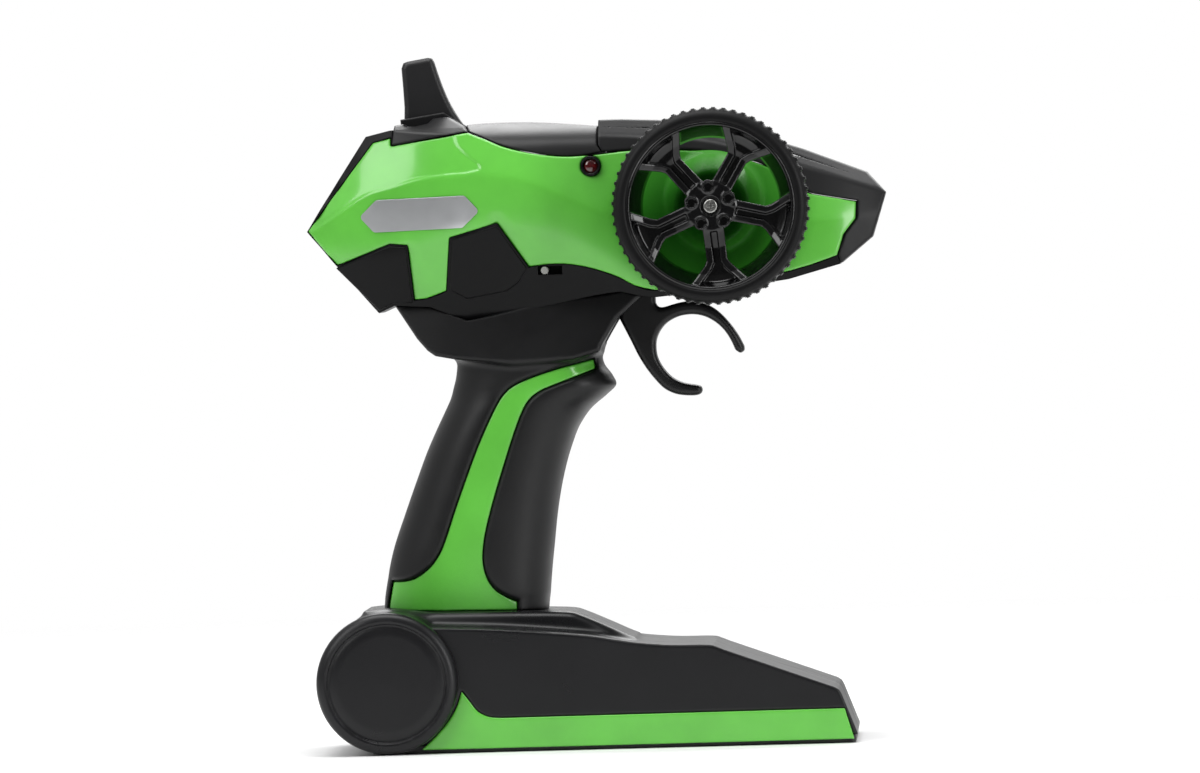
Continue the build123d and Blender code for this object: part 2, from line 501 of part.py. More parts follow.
trig = trig - cyl_y(TRIG_X, TRIG_Z, PIN_R + RUN, -20, 3.8)
save("trigger", only_solid(trig))
save("trigger_pin", cyl_y(TRIG_X, TRIG_Z, PIN_R, -12.4, 3.6))
tpot = cyl_y(TRIG_X, TRIG_Z, 5.6, 7.0, 13.6) + box(TRIG_X - 3.5, TRIG_X + 3.5, 10.0, 13.6, TRIG_Z, TRIG_Z + 9.5)
tpot = tpot - cyl_y(TRIG_X, TRIG_Z, 2.0 + RUN, 5.0, 11.5)
save("throttle_potentiometer", only_solid(tpot))
save("trigger_spring", torsion_spring(TRIG_X, TRIG_Z, 4.35, 0.35, -6.15, 3.0, 1.0, 60, 6.5))

# -------------------------------------------------- deck: switch and trims
save("deck_board", box(11.0, 46.0, -13.5, 13.5, 166.4, 168.0))
sw_body = box(SWITCH_X - 5.5, SWITCH_X + 5.5, -3.2, 3.2, 168.05, 174.0)
sw_body = sw_body - box(SWITCH_X - 4.0, SWITCH_X + 4.0, -1.6, 1.6, 172.6, 175)
save("power_switch_body", only_solid(sw_body))
knob = box(SWITCH_X - 3.8, SWITCH_X - 0.2, -1.5, 1.5, 172.7, 179.3)
for k in range(3):
    knob = knob - box(SWITCH_X - 3.2 + 0.9 * k, SWITCH_X - 2.75 + 0.9 * k, -2, 2, 178.9, 180)
save("power_switch_knob", only_solid(knob))
pots = []
for sy in (-1, 1):
    y = sy * TRIM_Y
    pots.append(box(TRIM_X - 4.5, TRIM_X + 4.5, y - 4.5, y + 4.5, 168.05, 172.2) - cyl_z(TRIM_X, y, 1.5 + RUN, 169.0, 173))
save("trim_potentiometers", *pots)


def dial(y):
    d = cyl_z(TRIM_X, y, 4.9, 174.6, 179.4)
    d = try_fillet(d, lambda s: s.edges().sort_by(Axis.Z)[-1:], [0.6])
    d = d - [Pos(TRIM_X + 5.0 * math.cos(math.radians(15 * i)), y + 5.0 * math.sin(math.radians(15 * i)), 177.0) * Cylinder(0.32, 8) for i in range(24)]
    d = d - box(TRIM_X + 1.0, TRIM_X + 4.4, y - 0.35, y + 0.35, 178.9, 181)
    return only_solid(d + cyl_z(TRIM_X, y, 1.5, 169.2, 174.8))


save("steering_trim_dial", dial(-TRIM_Y))
save("throttle_trim_dial", dial(TRIM_Y))

mk = half_width(MODE_X, MODE_Z)
mode = cyl_y(MODE_X, MODE_Z, 1.1, -(mk + 1.6), -(mk - 6.0))
mode = try_fillet(mode, lambda s: s.edges().sort_by(Axis.Y)[:1], [0.5])
mode = mode + box(MODE_X - 1.1, MODE_X + 1.1, -(mk - 6.0), -(mk - 8.0), MODE_Z - 1.1, MODE_Z + 1.1)
save("mode_switch_knob", only_solid(mode))
mode_body = box(MODE_X - 3.4, MODE_X + 6.4, -(mk - 5.3), -(mk - 11.0), MODE_Z - 2.6, MODE_Z + 2.6) - box(MODE_X - 1.5, MODE_X + 4.6, -(mk - 5.0), -(mk - 8.3), MODE_Z - 1.3, MODE_Z + 1.3)
save("mode_switch_body", only_solid(mode_body))

# ------------------------------------------------------------- electronics
board = box(-50.0, 2.0, 12.0, 13.6, 137.0, 158.5) - cyl_y(-26.0, 139.5, BOSS_R + 1.2, 5, 20)
save("main_board", only_solid(board))
save("board_components", box(-36.0, -27.0, 9.8, 11.95, 147.0, 156.0), box(-18.0, -12.0, 10.4, 11.95, 144.0, 150.0),
     cyl_y(-4.5, 152.5, 3.1, 3.5, 11.95), box(-45.0, -39.5, 9.9, 11.95, 139.5, 143.5))
save("radio_module", box(-49.0, -38.0, 9.6, 11.95, 147.5, 157.5))

# --------------------------------------------------------------- grip loft
# z, back x, front x, half width
GRIP = [(34.0, -59.6, -11.6, 16.2), (40.5, -59.1, -11.8, 16.2), (49.8, -57.5, -11.1, 16.3), (58.0, -55.4, -10.1, 16.4), (68.0, -51.8, -8.8, 16.5),
        (78.0, -48.0, -6.8, 16.6), (86.0, -44.8, -4.4, 16.7), (92.8, -41.6, -1.4, 16.8), (97.2, -39.4, 2.0, 16.9), (100.6, -37.8, 6.2, 17.0),
        (103.3, -37.0, 8.9, 17.1), (106.0, -36.4, 8.2, 17.15), (109.5, -36.1, 6.1, 17.2), (113.5, -36.0, 5.8, 17.3), (118.0, -36.0, 7.6, 17.0),
        (123.5, -36.0, 10.6, 16.6)]


def grip_section(z, xb, xf, hw, d, n=2.5, count=28):
    """Superellipse, flattened at its sides."""
    a, b, xc = (xf - xb) / 2 - d, hw - d, (xf + xb) / 2
    pts = []
    for i in range(count):
        t = 2 * math.pi * i / count
        c, s = math.cos(t), math.sin(t)
        pts.append(Vector(xc + a * math.copysign(abs(c) ** (2 / n), c), b * math.copysign(abs(s) ** (2 / n), s), z))
    return Wire([Edge.make_spline(pts, periodic=True)])


def grip_loft(d):
    return Solid.make_loft([grip_section(*g, d) for g in GRIP])


PLATFORM_TOP = outline(
    ("L", [(-64.0, 20.0), (-64.0, 40.1), (-11.8, 39.2)]),
    ("S", [(-11.8, 39.2), (-4.9, 38.8), (-1.6, 37.8), (3.0, 35.8), (7.9, 33.5), (13.0, 30.6)]),
    ("L", [(13.0, 30.6), (13.0, 20.0), (-64.0, 20.0)]),
)
neck_face = outline(
    ("L", [(-53.0, 127.7), (-46.8, 118.1), (-43.9, 114.7), (-41.7, 113.1), (-36.0, 112.0), (-20, 110.2), (-2, 111.0), (5.6, 113.2), (6.2, 114.9),
           (8.2, 118.3), (10.9, 122.6), (17.7, 128.6), (12.3, 130.05)]),
    ("S", [(12.3, 130.05), (4.0, 129.05), (-5.0, 127.35), (-18, 125.05), (-32.3, 122.95)]),
    ("L", [(-32.3, 122.95), (-43.0, 127.15), (-53.0, 127.7)]),
)
NECK_HALF = [(104.0, 19.2), (112.0, 19.2), (124.0, 17.6), (131.0, 16.6)]


def neck_width(x, z):
    w = interp(z, NECK_HALF)
    w -= 0.10 * soft(x + 6.0, 8.0)
    w -= 0.16 * soft(-38.0 - x, 6.0)
    return w


NECK_SKIN = side_region(neck_width, 0.0, z0=104, z1=136, nx=24, nz=14)
grip_out, grip_in = grip_loft(0.0), grip_loft(2.4)
neck = pr(neck_face, 0, -40) - NECK_SKIN
neck = try_fillet(neck, lambda s: [e for e in s.edges() if e.center().Y < -15 and e.center().Z < 115.5 and e.bounding_box().size.Y < 3 and e.bounding_box().size.Z < 12], [2.2, 1.4, 0.8])
inlay_face = outline(
    ("L", [(3.4, 111.0), (-5.1, 109.0)]),
    ("S", [(-5.1, 109.0), (-13.4, 106.5), (-18.9, 104.3), (-21.8, 102.2), (-24.0, 99.4), (-26.9, 94.0)]),
    ("S", [(-26.9, 94.0), (-30.4, 86.5), (-33.9, 77.8), (-37.4, 68.6), (-40.1, 61.0), (-42.2, 56.2), (-45.0, 52.5), (-48.9, 49.6), (-52.2, 48.6), (-56.1, 48.4)]),
    ("L", [(-56.1, 48.4), (-57.3, 42.4), (-57.6, 40.5), (-20.5, 39.75), (-20.3, 41.9)]),
    ("S", [(-20.3, 41.9), (-23.4, 43.3), (-26.6, 45.6), (-28.7, 48.9), (-29.7, 53.1), (-29.5, 58.0), (-28.3, 64.0), (-25.8, 72.6), (-22.9, 81.3),
           (-19.9, 90.0), (-17.2, 96.6), (-15.0, 100.0), (-11.9, 102.3), (-7.4, 104.1), (3.9, 108.2)]),
    ("L", [(3.9, 108.2), (3.4, 111.0)]),
)
groove = pr(grow(inlay_face, 0.15), -1, -40) - grip_loft(1.5)
inlay = only_solid((pr(inlay_face, -3, -40) & grip_loft(0.5)) - grip_loft(1.42))
platform_keep = pr(grow(PLATFORM_TOP, 0.08), -45, 45)


def grip_half(sign):
    g = (grip_out & box(-80, 40, -40, 0, 36, 123.2)) + neck
    g = g - groove - (grip_in & box(-80, 40, -41, 1, 35, 131))
    g = g - pr(grow(neck_face, -3.0), 0.5, -13.9) - (pr(poly([(-40, 121), (2, 121), (2, 132), (-40, 132)]), 0.5, -13.9))
    g = g & pr(neck_face + poly([(-75, 36), (20, 36), (20, 122.9), (-75, 122.9)]), 0, -45)
    if sign > 0:
        g = flip(g)
    add, cut = [], []
    for x, z in SCREWS_GRIP:
        if sign < 0:
            add.append(cyl_y(x, z, BOSS_R, -14.6, 0))
            cut.append(cyl_y(x, z, PILOT_R, -9.5, 0.1))
        else:
            add.append(cyl_y(x, z, BOSS_R + 0.8, 0, 14.6))
            cut.append(cyl_y(x, z, HEAD_R + 0.35, SEAT_Y, 45))
            cut.append(cyl_y(x, z, PILOT_R + 0.2, -0.1, SEAT_Y + 0.1))
    g = g + add
    g = g - cut - box(3.0, 43.0, -7.0, 7.0, 115.5, 133.5) - platform_keep - cyl_y(DISC_X, DISC_Z, DISC_R - 0.14, -45, 45)
    return only_solid(g)


save("grip_shell_right", grip_half(-1))
save("grip_shell_left", grip_half(1))
save("grip_inlay_right", inlay)
inlay_left = flip(inlay)
for x, z in SCREWS_GRIP:
    inlay_left = inlay_left - cyl_y(x, z, HEAD_R + 0.6, 5, 45)
save("grip_inlay_left", inlay_left)
print("grip done", flush=True)

# --------------------------------------------------------------------- base
base_face = outline(
    ("S", [(-57.2, 36.4), (-41.0, 35.6), (-24.8, 34.8), (-1.9, 32.7), (7.8, 31.1), (14.4, 30.0), (24.0, 29.1), (34.5, 28.9)]),
    ("S", [(34.5, 28.9), (37.0, 28.3), (39.2, 27.4)]),
    ("L", [(39.2, 27.4), (70.4, 15.9)]),
    ("S", [(70.4, 15.9), (71.7, 15.1), (72.4, 13.9)]),
    ("L", [(72.4, 13.9), (76.9, FLOOR_T + 0.05), (-57.2, FLOOR_T + 0.05), (-57.2, 36.4)]),
)
base_full = base_face + Pos(DISC_X, DISC_Z) * Circle(DISC_R - 0.25)
base_full = base_full - poly([(-100, FLOOR_T + 0.05), (100, FLOOR_T + 0.05), (100, -20), (-100, -20)])
band_face = outline(
    ("L", [(-48.0, 0.9), (-44.2, 4.3)]),
    ("S", [(-44.2, 4.3), (-40.4, 8.5), (-37.6, 13.0), (-36.1, 17.4)]),
    ("S", [(-36.1, 17.4), (-33.7, 14.2), (-31.6, 11.5), (-28.5, 9.9), (-24.8, 9.5)]),
    ("L", [(-24.8, 9.5), (73.2, 9.7), (75.75, 0.9), (-48.0, 0.9)]),
)
band_cut = pr(grow(band_face, GAP) + poly([(-48.1, 0.0), (76.2, 0.0), (75.6, 2.6), (-46.2, 2.6)]), -(BASE_HALF - 1.6), -60)


def base_half(sign):
    b = pr(base_full, 0, -BASE_HALF)
    b = try_fillet(b, lambda s: [e for e in s.edges() if abs(e.center().Y + BASE_HALF) < 0.1 and e.center().Z > 10 and e.center().X > -50], [1.6, 1.0, 0.5])
    plat = pr(PLATFORM_TOP, 0, -PLATFORM_HALF)
    plat = try_fillet(plat, lambda s: [e for e in s.edges() if abs(e.center().Y + PLATFORM_HALF) < 0.1 and e.center().Z > 30], [3.0, 2.0, 1.2])
    b = b + plat
    b = b - (pr(grow(base_full, -WALL), 0.5, -(BASE_HALF - 3.6)) + box(-59, 73.0, -(BASE_HALF - 3.6), 0.5, 0, 6.0))
    b = b - (pr(grow(PLATFORM_TOP, -WALL), 0.5, -(PLATFORM_HALF - WALL)) & box(-60, 20, -50, 1, 30, 60))
    b = b - box(-48, -17, -12.0, 0.5, 30, 42) - band_cut - box(-90, 90, -60, 1, -5, FLOOR_T + 0.05)
    add, cut = [], []
    for x, y in FLOOR_SCREWS:
        if y < 0:
            add.append(cyl_z(x, y, 3.2, FLOOR_T + 0.05, 14.0))
            add.append(box(x - 0.9, x + 0.9, -(BASE_HALF - 3.0), y - 2.9, FLOOR_T + 0.05, 14.0))
            cut.append(cyl_z(x, y, PILOT_R, 0, 11.0))
    cut.append(cyl_y(DISC_X, DISC_Z, 4.05, -60, -10))
    b = b + add
    b = b - cut
    return only_solid(b if sign < 0 else flip(b))


save("base_shell_right", base_half(-1))
save("base_shell_left", base_half(1))
band = pr(band_face, -(BASE_HALF - 1.5), -(BASE_HALF + 0.12))
band = try_fillet(band, lambda s: s.faces().sort_by(Axis.Y)[0].edges(), [0.35, 0.2])
save("base_trim_right", only_solid(band))
save("base_trim_left", flip(only_solid(band)))

# round caps at the rear of the base
H = DISC_HALF
capp = Polyline((0, BASE_HALF + 0.05), (DISC_R - 0.5, BASE_HALF + 0.05), (DISC_R, BASE_HALF + 0.6), (DISC_R, H - 2.2), (DISC_R - 0.2, H - 1.4), (DISC_R - 0.7, H - 0.7), (DISC_R - 1.5, H - 0.2),
                (17.9, H), (17.2, H - 0.15), (16.9, H - 0.75), (16.3, H - 0.85), (15.6, H - 0.55), (0, H - 0.35), close=True)
cap = revolve(Plane.XZ * make_face(capp), axis=Axis.Z) + Pos(0, 0, 31.6) * Cylinder(4.0, 5.4)
cap = Pos(DISC_X, 0, DISC_Z) * Rot(90, 0, 0) * cap
cap = cap - box(-90, 0, -60, 60, -5, 0.1)
save("rear_cap_right", only_solid(cap))
save("rear_cap_left", flip(only_solid(cap)))

# floor, battery door and battery bay
x0, x1, y0, y1 = DOOR
floor = extrude(rounded(poly([(-62.0, -32.3), (76.2, -32.3), (76.2, 32.3), (-62.0, 32.3)]), 1.5), amount=FLOOR_T)
floor = floor - box(x0, x1, y0, y1, -1, 3)
for x, y in FLOOR_SCREWS:
    floor = floor - cyl_z(x, y, 1.55, -1, 3) - cyl_z(x, y, 2.9, -1, 1.3)
save("base_floor", only_solid(floor))
door = box(x0 + 0.25, x1 - 0.25, y0 + 0.25, y1 - 0.25, 0, FLOOR_T - 0.1)
door = try_fillet(door, lambda s: s.edges().filter_by(Axis.Z), [1.5])
door = door - cyl_z(DOOR_SCREW_X, 0, 1.6, -1, 3) - cyl_z(DOOR_SCREW_X, 0, 2.9, -1, 1.0)
for i in range(5):
    door = door - box(x0 + 3.0 + 1.9 * i, x0 + 3.9 + 1.9 * i, -9, 9, -1, 0.5)
save("battery_door", only_solid(door))


def phillips(x, y, z_head, t, length):
    s = cyl_z(x, y, HEAD_R, z_head, z_head + t) + cyl_z(x, y, 1.2, z_head + t - 0.05, z_head + length)
    return s - box(x - 1.5, x + 1.5, y - 0.3, y + 0.3, z_head - 1, z_head + 0.5) - box(x - 0.3, x + 0.3, y - 1.5, y + 1.5, z_head - 1, z_head + 0.5)


save("floor_screws", *[phillips(x, y, 0.02, 1.25, 9.0) for x, y in FLOOR_SCREWS])
save("door_screw", only_solid(phillips(DOOR_SCREW_X, 0, 0.02, 0.93, 8.5)))
tray = box(x0 - 1.8, x1 + 1.8, y0 + 0.7, y1 - 0.7, 2.06, 18.6) - box(x0 + 1.2, x1 - 5.8, y0 + 1.6, y1 - 1.6, 1.0, 16.8)
tray = tray - cyl_z(DOOR_SCREW_X, 0, PILOT_R, 1, 12)
save("battery_tray", only_solid(tray))
xa, xb = x0 + 1.25, x1 - 5.85          # end walls of the bay
mid = Plane.YZ.offset((xa + xb) / 2)
cells, springs, plates = [], [], []
for i, y in enumerate(CELL_Y):
    c = cyl_x(y, CELL_Z, CELL_R, -7.0, 41.8) + cyl_x(y, CELL_Z, 2.6, 41.7, 42.9)
    h = Helix(pitch=1.3, height=3.6, radius=3.4)
    coil = sweep(Plane(origin=h @ 0, z_dir=h % 0) * Circle(0.32), path=h, is_frenet=True)
    coil = Pos(xa + 0.85, y, CELL_Z) * Rot(0, 90, 0) * coil
    cells.append(c if i % 2 == 0 else mirror(c, about=mid))
    springs.append(coil if i % 2 == 0 else mirror(coil, about=mid))
    plates.append(box(xa, xa + 0.4, y - 5.5, y + 5.5, 4.0, 15.0))
    plates.append(box(xb - 0.4, xb, y - 5.5, y + 5.5, 4.0, 15.0))
save("batteries", *cells)
save("battery_contacts", *plates)
save("battery_springs", *springs)

# wires from the battery bay up through the grip to the board
leads = []
for dy in (-2.0, 2.0):
    pts = [(-16.9, 4 + dy, 10.0), (-17.6, 3 + dy, 22.0), (-20.0, dy, 34.0), (-23.5, dy, 48.0), (-24.6, dy, 64.0), (-24.0, dy, 82.0), (-18.0, dy, 99.0), (-12.5, dy, 112.0),
           (-11.0, dy + 0.5, 121.0), (-11.0, dy + 3.0, 130.0), (-8.0 + dy, 11.0, 140.0)]
    wire = Part()
    for p, q in zip(pts, pts[1:]):
        d = Vector(*q) - Vector(*p)
        wire += extrude(Plane(origin=p, z_dir=d) * Circle(0.75), amount=d.length)
        if q != pts[-1]:
            wire += Pos(*q) * Sphere(0.75)
    leads.append(only_solid(wire))
save("battery_leads", *leads)

# clamshell screws, driven from the left
scr_all = []
for x, z in SCREWS_HEAD + SCREWS_GRIP:
    h = cyl_y(x, z, HEAD_R, SEAT_Y + 0.02, SEAT_Y + 1.6) + cyl_y(x, z, 1.2, -8.0, SEAT_Y + 0.1)
    h = h - box(x - 1.5, x + 1.5, SEAT_Y + 1.0, SEAT_Y + 3, z - 0.3, z + 0.3) - box(x - 0.3, x + 0.3, SEAT_Y + 1.0, SEAT_Y + 3, z - 1.5, z + 1.5)
    scr_all.append(h)
save("shell_screws", *scr_all)
print("done")
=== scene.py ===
import math
import random

import bpy
import bmesh
import numpy as np
from mathutils import Matrix, Vector


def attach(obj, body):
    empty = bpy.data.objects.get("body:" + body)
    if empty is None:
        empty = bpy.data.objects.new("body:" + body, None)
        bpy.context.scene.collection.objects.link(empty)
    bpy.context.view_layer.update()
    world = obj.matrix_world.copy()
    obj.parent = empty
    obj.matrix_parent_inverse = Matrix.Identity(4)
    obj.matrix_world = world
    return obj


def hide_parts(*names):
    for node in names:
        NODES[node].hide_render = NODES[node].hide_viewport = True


random.seed(7)
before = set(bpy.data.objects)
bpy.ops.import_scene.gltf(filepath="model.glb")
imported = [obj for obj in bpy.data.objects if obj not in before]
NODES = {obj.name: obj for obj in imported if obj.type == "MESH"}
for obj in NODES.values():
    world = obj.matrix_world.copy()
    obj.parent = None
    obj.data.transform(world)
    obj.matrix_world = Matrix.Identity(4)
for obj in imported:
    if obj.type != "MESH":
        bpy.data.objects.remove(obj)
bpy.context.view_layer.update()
MM = 0.001


# ------------------------------------------------------------------ materials
def srgb(r, g, b):
    def f(c):
        c /= 255.0
        return c / 12.92 if c <= 0.04045 else ((c + 0.055) / 1.055) ** 2.4
    return (f(r), f(g), f(b), 1.0)


class Net:
    """A small builder over one material's node tree."""

    def __init__(self, name):
        self.mat = bpy.data.materials.new(name)
        self.mat.use_nodes = True
        self.t = self.mat.node_tree
        self.t.nodes.clear()
        self.out = self.n("ShaderNodeOutputMaterial")

    def n(self, kind, **props):
        node = self.t.nodes.new(kind)
        for k, v in props.items():
            setattr(node, k, v)
        return node

    def link(self, a, b):
        self.t.links.new(a, b)

    def coord(self, scale=(1, 1, 1), rot=(0, 0, 0)):
        tc = self.n("ShaderNodeTexCoord")
        mp = self.n("ShaderNodeMapping")
        mp.inputs["Scale"].default_value = scale
        mp.inputs["Rotation"].default_value = rot
        self.link(tc.outputs["Object"], mp.inputs["Vector"])
        return mp.outputs["Vector"]

    def noise(self, scale, detail=4.0, rough=0.55, vec=None, distortion=0.0):
        nz = self.n("ShaderNodeTexNoise")
        nz.inputs["Scale"].default_value = scale
        nz.inputs["Detail"].default_value = detail
        nz.inputs["Roughness"].default_value = rough
        nz.inputs["Distortion"].default_value = distortion
        self.link(vec if vec is not None else self.coord(), nz.inputs["Vector"])
        return nz.outputs["Fac"]

    def ramp(self, value, lo, hi, a=0.0, b=1.0):
        m = self.n("ShaderNodeMapRange")
        m.inputs["From Min"].default_value = lo
        m.inputs["From Max"].default_value = hi
        m.inputs["To Min"].default_value = a
        m.inputs["To Max"].default_value = b
        self.link(value, m.inputs["Value"])
        return m.outputs["Result"]

    def math(self, op, a, b=None, clamp=False):
        m = self.n("ShaderNodeMath", operation=op, use_clamp=clamp)
        for i, v in enumerate((a, b)):
            if v is None:
                continue
            if isinstance(v, (int, float)):
                m.inputs[i].default_value = v
            else:
                self.link(v, m.inputs[i])
        return m.outputs["Value"]

    def mix(self, fac, a, b):
        m = self.n("ShaderNodeMix", data_type="RGBA")
        for sock, v in ((m.inputs[0], fac), (m.inputs[6], a), (m.inputs[7], b)):
            if isinstance(v, (int, float)):
                sock.default_value = v
            elif isinstance(v, tuple):
                sock.default_value = v
            else:
                self.link(v, sock)
        return m.outputs[2]

    def bevel(self, mm, samples=4):
        b = self.n("ShaderNodeBevel", samples=samples)
        b.inputs["Radius"].default_value = mm * MM
        return b.outputs["Normal"]

    def edge_mask(self, bevel_normal):
        g = self.n("ShaderNodeNewGeometry")
        d = self.n("ShaderNodeVectorMath", operation="DOT_PRODUCT")
        self.link(bevel_normal, d.inputs[0])
        self.link(g.outputs["Normal"], d.inputs[1])
        return self.ramp(d.outputs["Value"], 0.998, 0.90)

    def bump(self, height, strength, dist_mm, normal=None):
        b = self.n("ShaderNodeBump")
        b.inputs["Strength"].default_value = strength
        b.inputs["Distance"].default_value = dist_mm * MM
        self.link(height, b.inputs["Height"])
        if normal is not None:
            self.link(normal, b.inputs["Normal"])
        return b.outputs["Normal"]

    def bsdf(self, **kw):
        p = self.n("ShaderNodeBsdfPrincipled")
        for k, v in kw.items():
            sock = p.inputs[k.replace("_", " ")]
            if isinstance(v, (int, float, tuple)):
                sock.default_value = v
            else:
                self.link(v, sock)
        self.link(p.outputs["BSDF"], self.out.inputs["Surface"])
        return p


def plastic(name, rgb, rough, grain_scale=2500, grain=0.15, grain_mm=0.02, edge=0.35, wear=0.25, wear_rgb=None, smudge=0.08,
            coat=0.0, metallic=0.0, wave=0.0, scratch=0.25, spec=0.5, dirt=0.0, painted_shade=None):
    """Moulded or metal surface: mottled colour, uneven roughness, fine grain, hairline scratches and worn edges, with
    optional painted shade from a hook.
    """
    m = Net(name)
    base = srgb(*rgb)
    worn = srgb(*(wear_rgb or tuple(min(255, int(c * 1.35 + 26)) for c in rgb)))
    bn = m.bevel(edge) if edge else None
    mottle = m.ramp(m.noise(55, 5), 0.3, 0.7)
    dark = tuple(c * 0.90 for c in base[:3]) + (1,)
    lite = tuple(min(1, c * 1.07) for c in base[:3]) + (1,)
    col = m.mix(mottle, dark, lite)
    painted_shade_spec = None
    # painted shade: an optional hook darkens the colour and returns a factor that weakens the reflections
    if painted_shade:
        col, painted_shade_spec = painted_shade(m, col)
    if bn is not None and wear > 0:
        mask = m.edge_mask(bn)
        patch = m.ramp(m.noise(420, 6, 0.7), 0.50, 0.66)
        wearf = m.math("MULTIPLY", m.math("MULTIPLY", mask, patch), wear, clamp=True)
        col = m.mix(wearf, col, worn)
    else:
        wearf = None
    hair = m.ramp(m.noise(1.0, 3, 0.6, m.coord((160, 160, 2600), (0.5, 0.35, 0.2))), 0.70, 0.76)
    hair2 = m.ramp(m.noise(1.0, 3, 0.6, m.coord((2400, 150, 150), (0.1, -0.5, 0.7))), 0.71, 0.77)
    hairs = m.math("ADD", hair, hair2, clamp=True)
    sm = m.ramp(m.noise(28, 6, 0.62, distortion=0.6), 0.32, 0.72, -smudge, smudge)
    r = m.math("ADD", m.math("ADD", sm, rough), m.math("MULTIPLY", hairs, 0.18 * scratch))
    if wearf is not None:
        r = m.math("ADD", r, m.math("MULTIPLY", wearf, 0.25), clamp=True)
    h = m.noise(grain_scale, 3, 0.6)
    nrm = m.bump(h, grain, grain_mm, bn)
    if wave:
        nrm = m.bump(m.noise(36, 2, 0.5), wave, 0.35, nrm)
    nrm = m.bump(hairs, 0.12 * scratch, 0.01, nrm)
    p = m.bsdf(Base_Color=col, Roughness=r, Metallic=metallic, Normal=nrm)
    p.inputs["IOR"].default_value = 1.5
    p.inputs["Specular IOR Level"].default_value = spec
    if coat:
        p.inputs["Coat Weight"].default_value = coat
        p.inputs["Coat Roughness"].default_value = 0.06
    # painted shade also dims the specular and coat
    if painted_shade_spec is not None:
        m.link(m.math("MULTIPLY", painted_shade_spec, spec), p.inputs["Specular IOR Level"])
        m.link(m.math("MULTIPLY", painted_shade_spec, coat), p.inputs["Coat Weight"])
    return m.mat


def shade(m, col):
    """Painted shade: darker colour and weaker reflections where something sits close in front, as behind the wheel and
    along creases.
    """
    ao = m.n("ShaderNodeAmbientOcclusion", samples=6)
    ao.inputs["Distance"].default_value = 26 * MM
    k = m.ramp(ao.outputs["AO"], 0.24, 0.84)
    tc = m.n("ShaderNodeTexCoord")
    sep = m.n("ShaderNodeSeparateXYZ")
    m.link(tc.outputs["Object"], sep.inputs[0])
    # painted shadow of the wheel: a fixed darker ring around its axis, on the right panel only
    dx, dz = m.math("SUBTRACT", sep.outputs["X"], 39.2 * MM), m.math("SUBTRACT", sep.outputs["Z"], 153.9 * MM)
    r = m.math("SQRT", m.math("ADD", m.math("MULTIPLY", dx, dx), m.math("MULTIPLY", dz, dz)))
    painted_wheel_shadow = m.math("MAXIMUM", m.ramp(r, 21 * MM, 30 * MM, 0.42, 1.0), m.ramp(sep.outputs["Y"], -8 * MM, 0.0))
    k = m.math("MULTIPLY", k, painted_wheel_shadow)
    # painted shade: the second value dims the specular and coat in the same places
    return m.mix(k, (0.008, 0.10, 0.006, 1.0), col), m.math("POWER", k, 1.5)


def lens_mat(name, rgb):
    m = Net(name)
    bn = m.bevel(0.2)
    r = m.ramp(m.noise(900, 4), 0.3, 0.7, 0.03, 0.10)
    col = m.mix(m.ramp(m.noise(700, 4), 0.35, 0.7), srgb(*rgb), srgb(rgb[0] // 2, rgb[1], rgb[2]))
    p = m.bsdf(Base_Color=col, Roughness=r, Normal=m.bump(m.noise(1500, 2), 0.05, 0.02, bn))
    p.inputs["IOR"].default_value = 1.55
    p.inputs["Coat Weight"].default_value = 1.0
    p.inputs["Coat Roughness"].default_value = 0.03
    p.inputs["Transmission Weight"].default_value = 0.25
    return m.mat


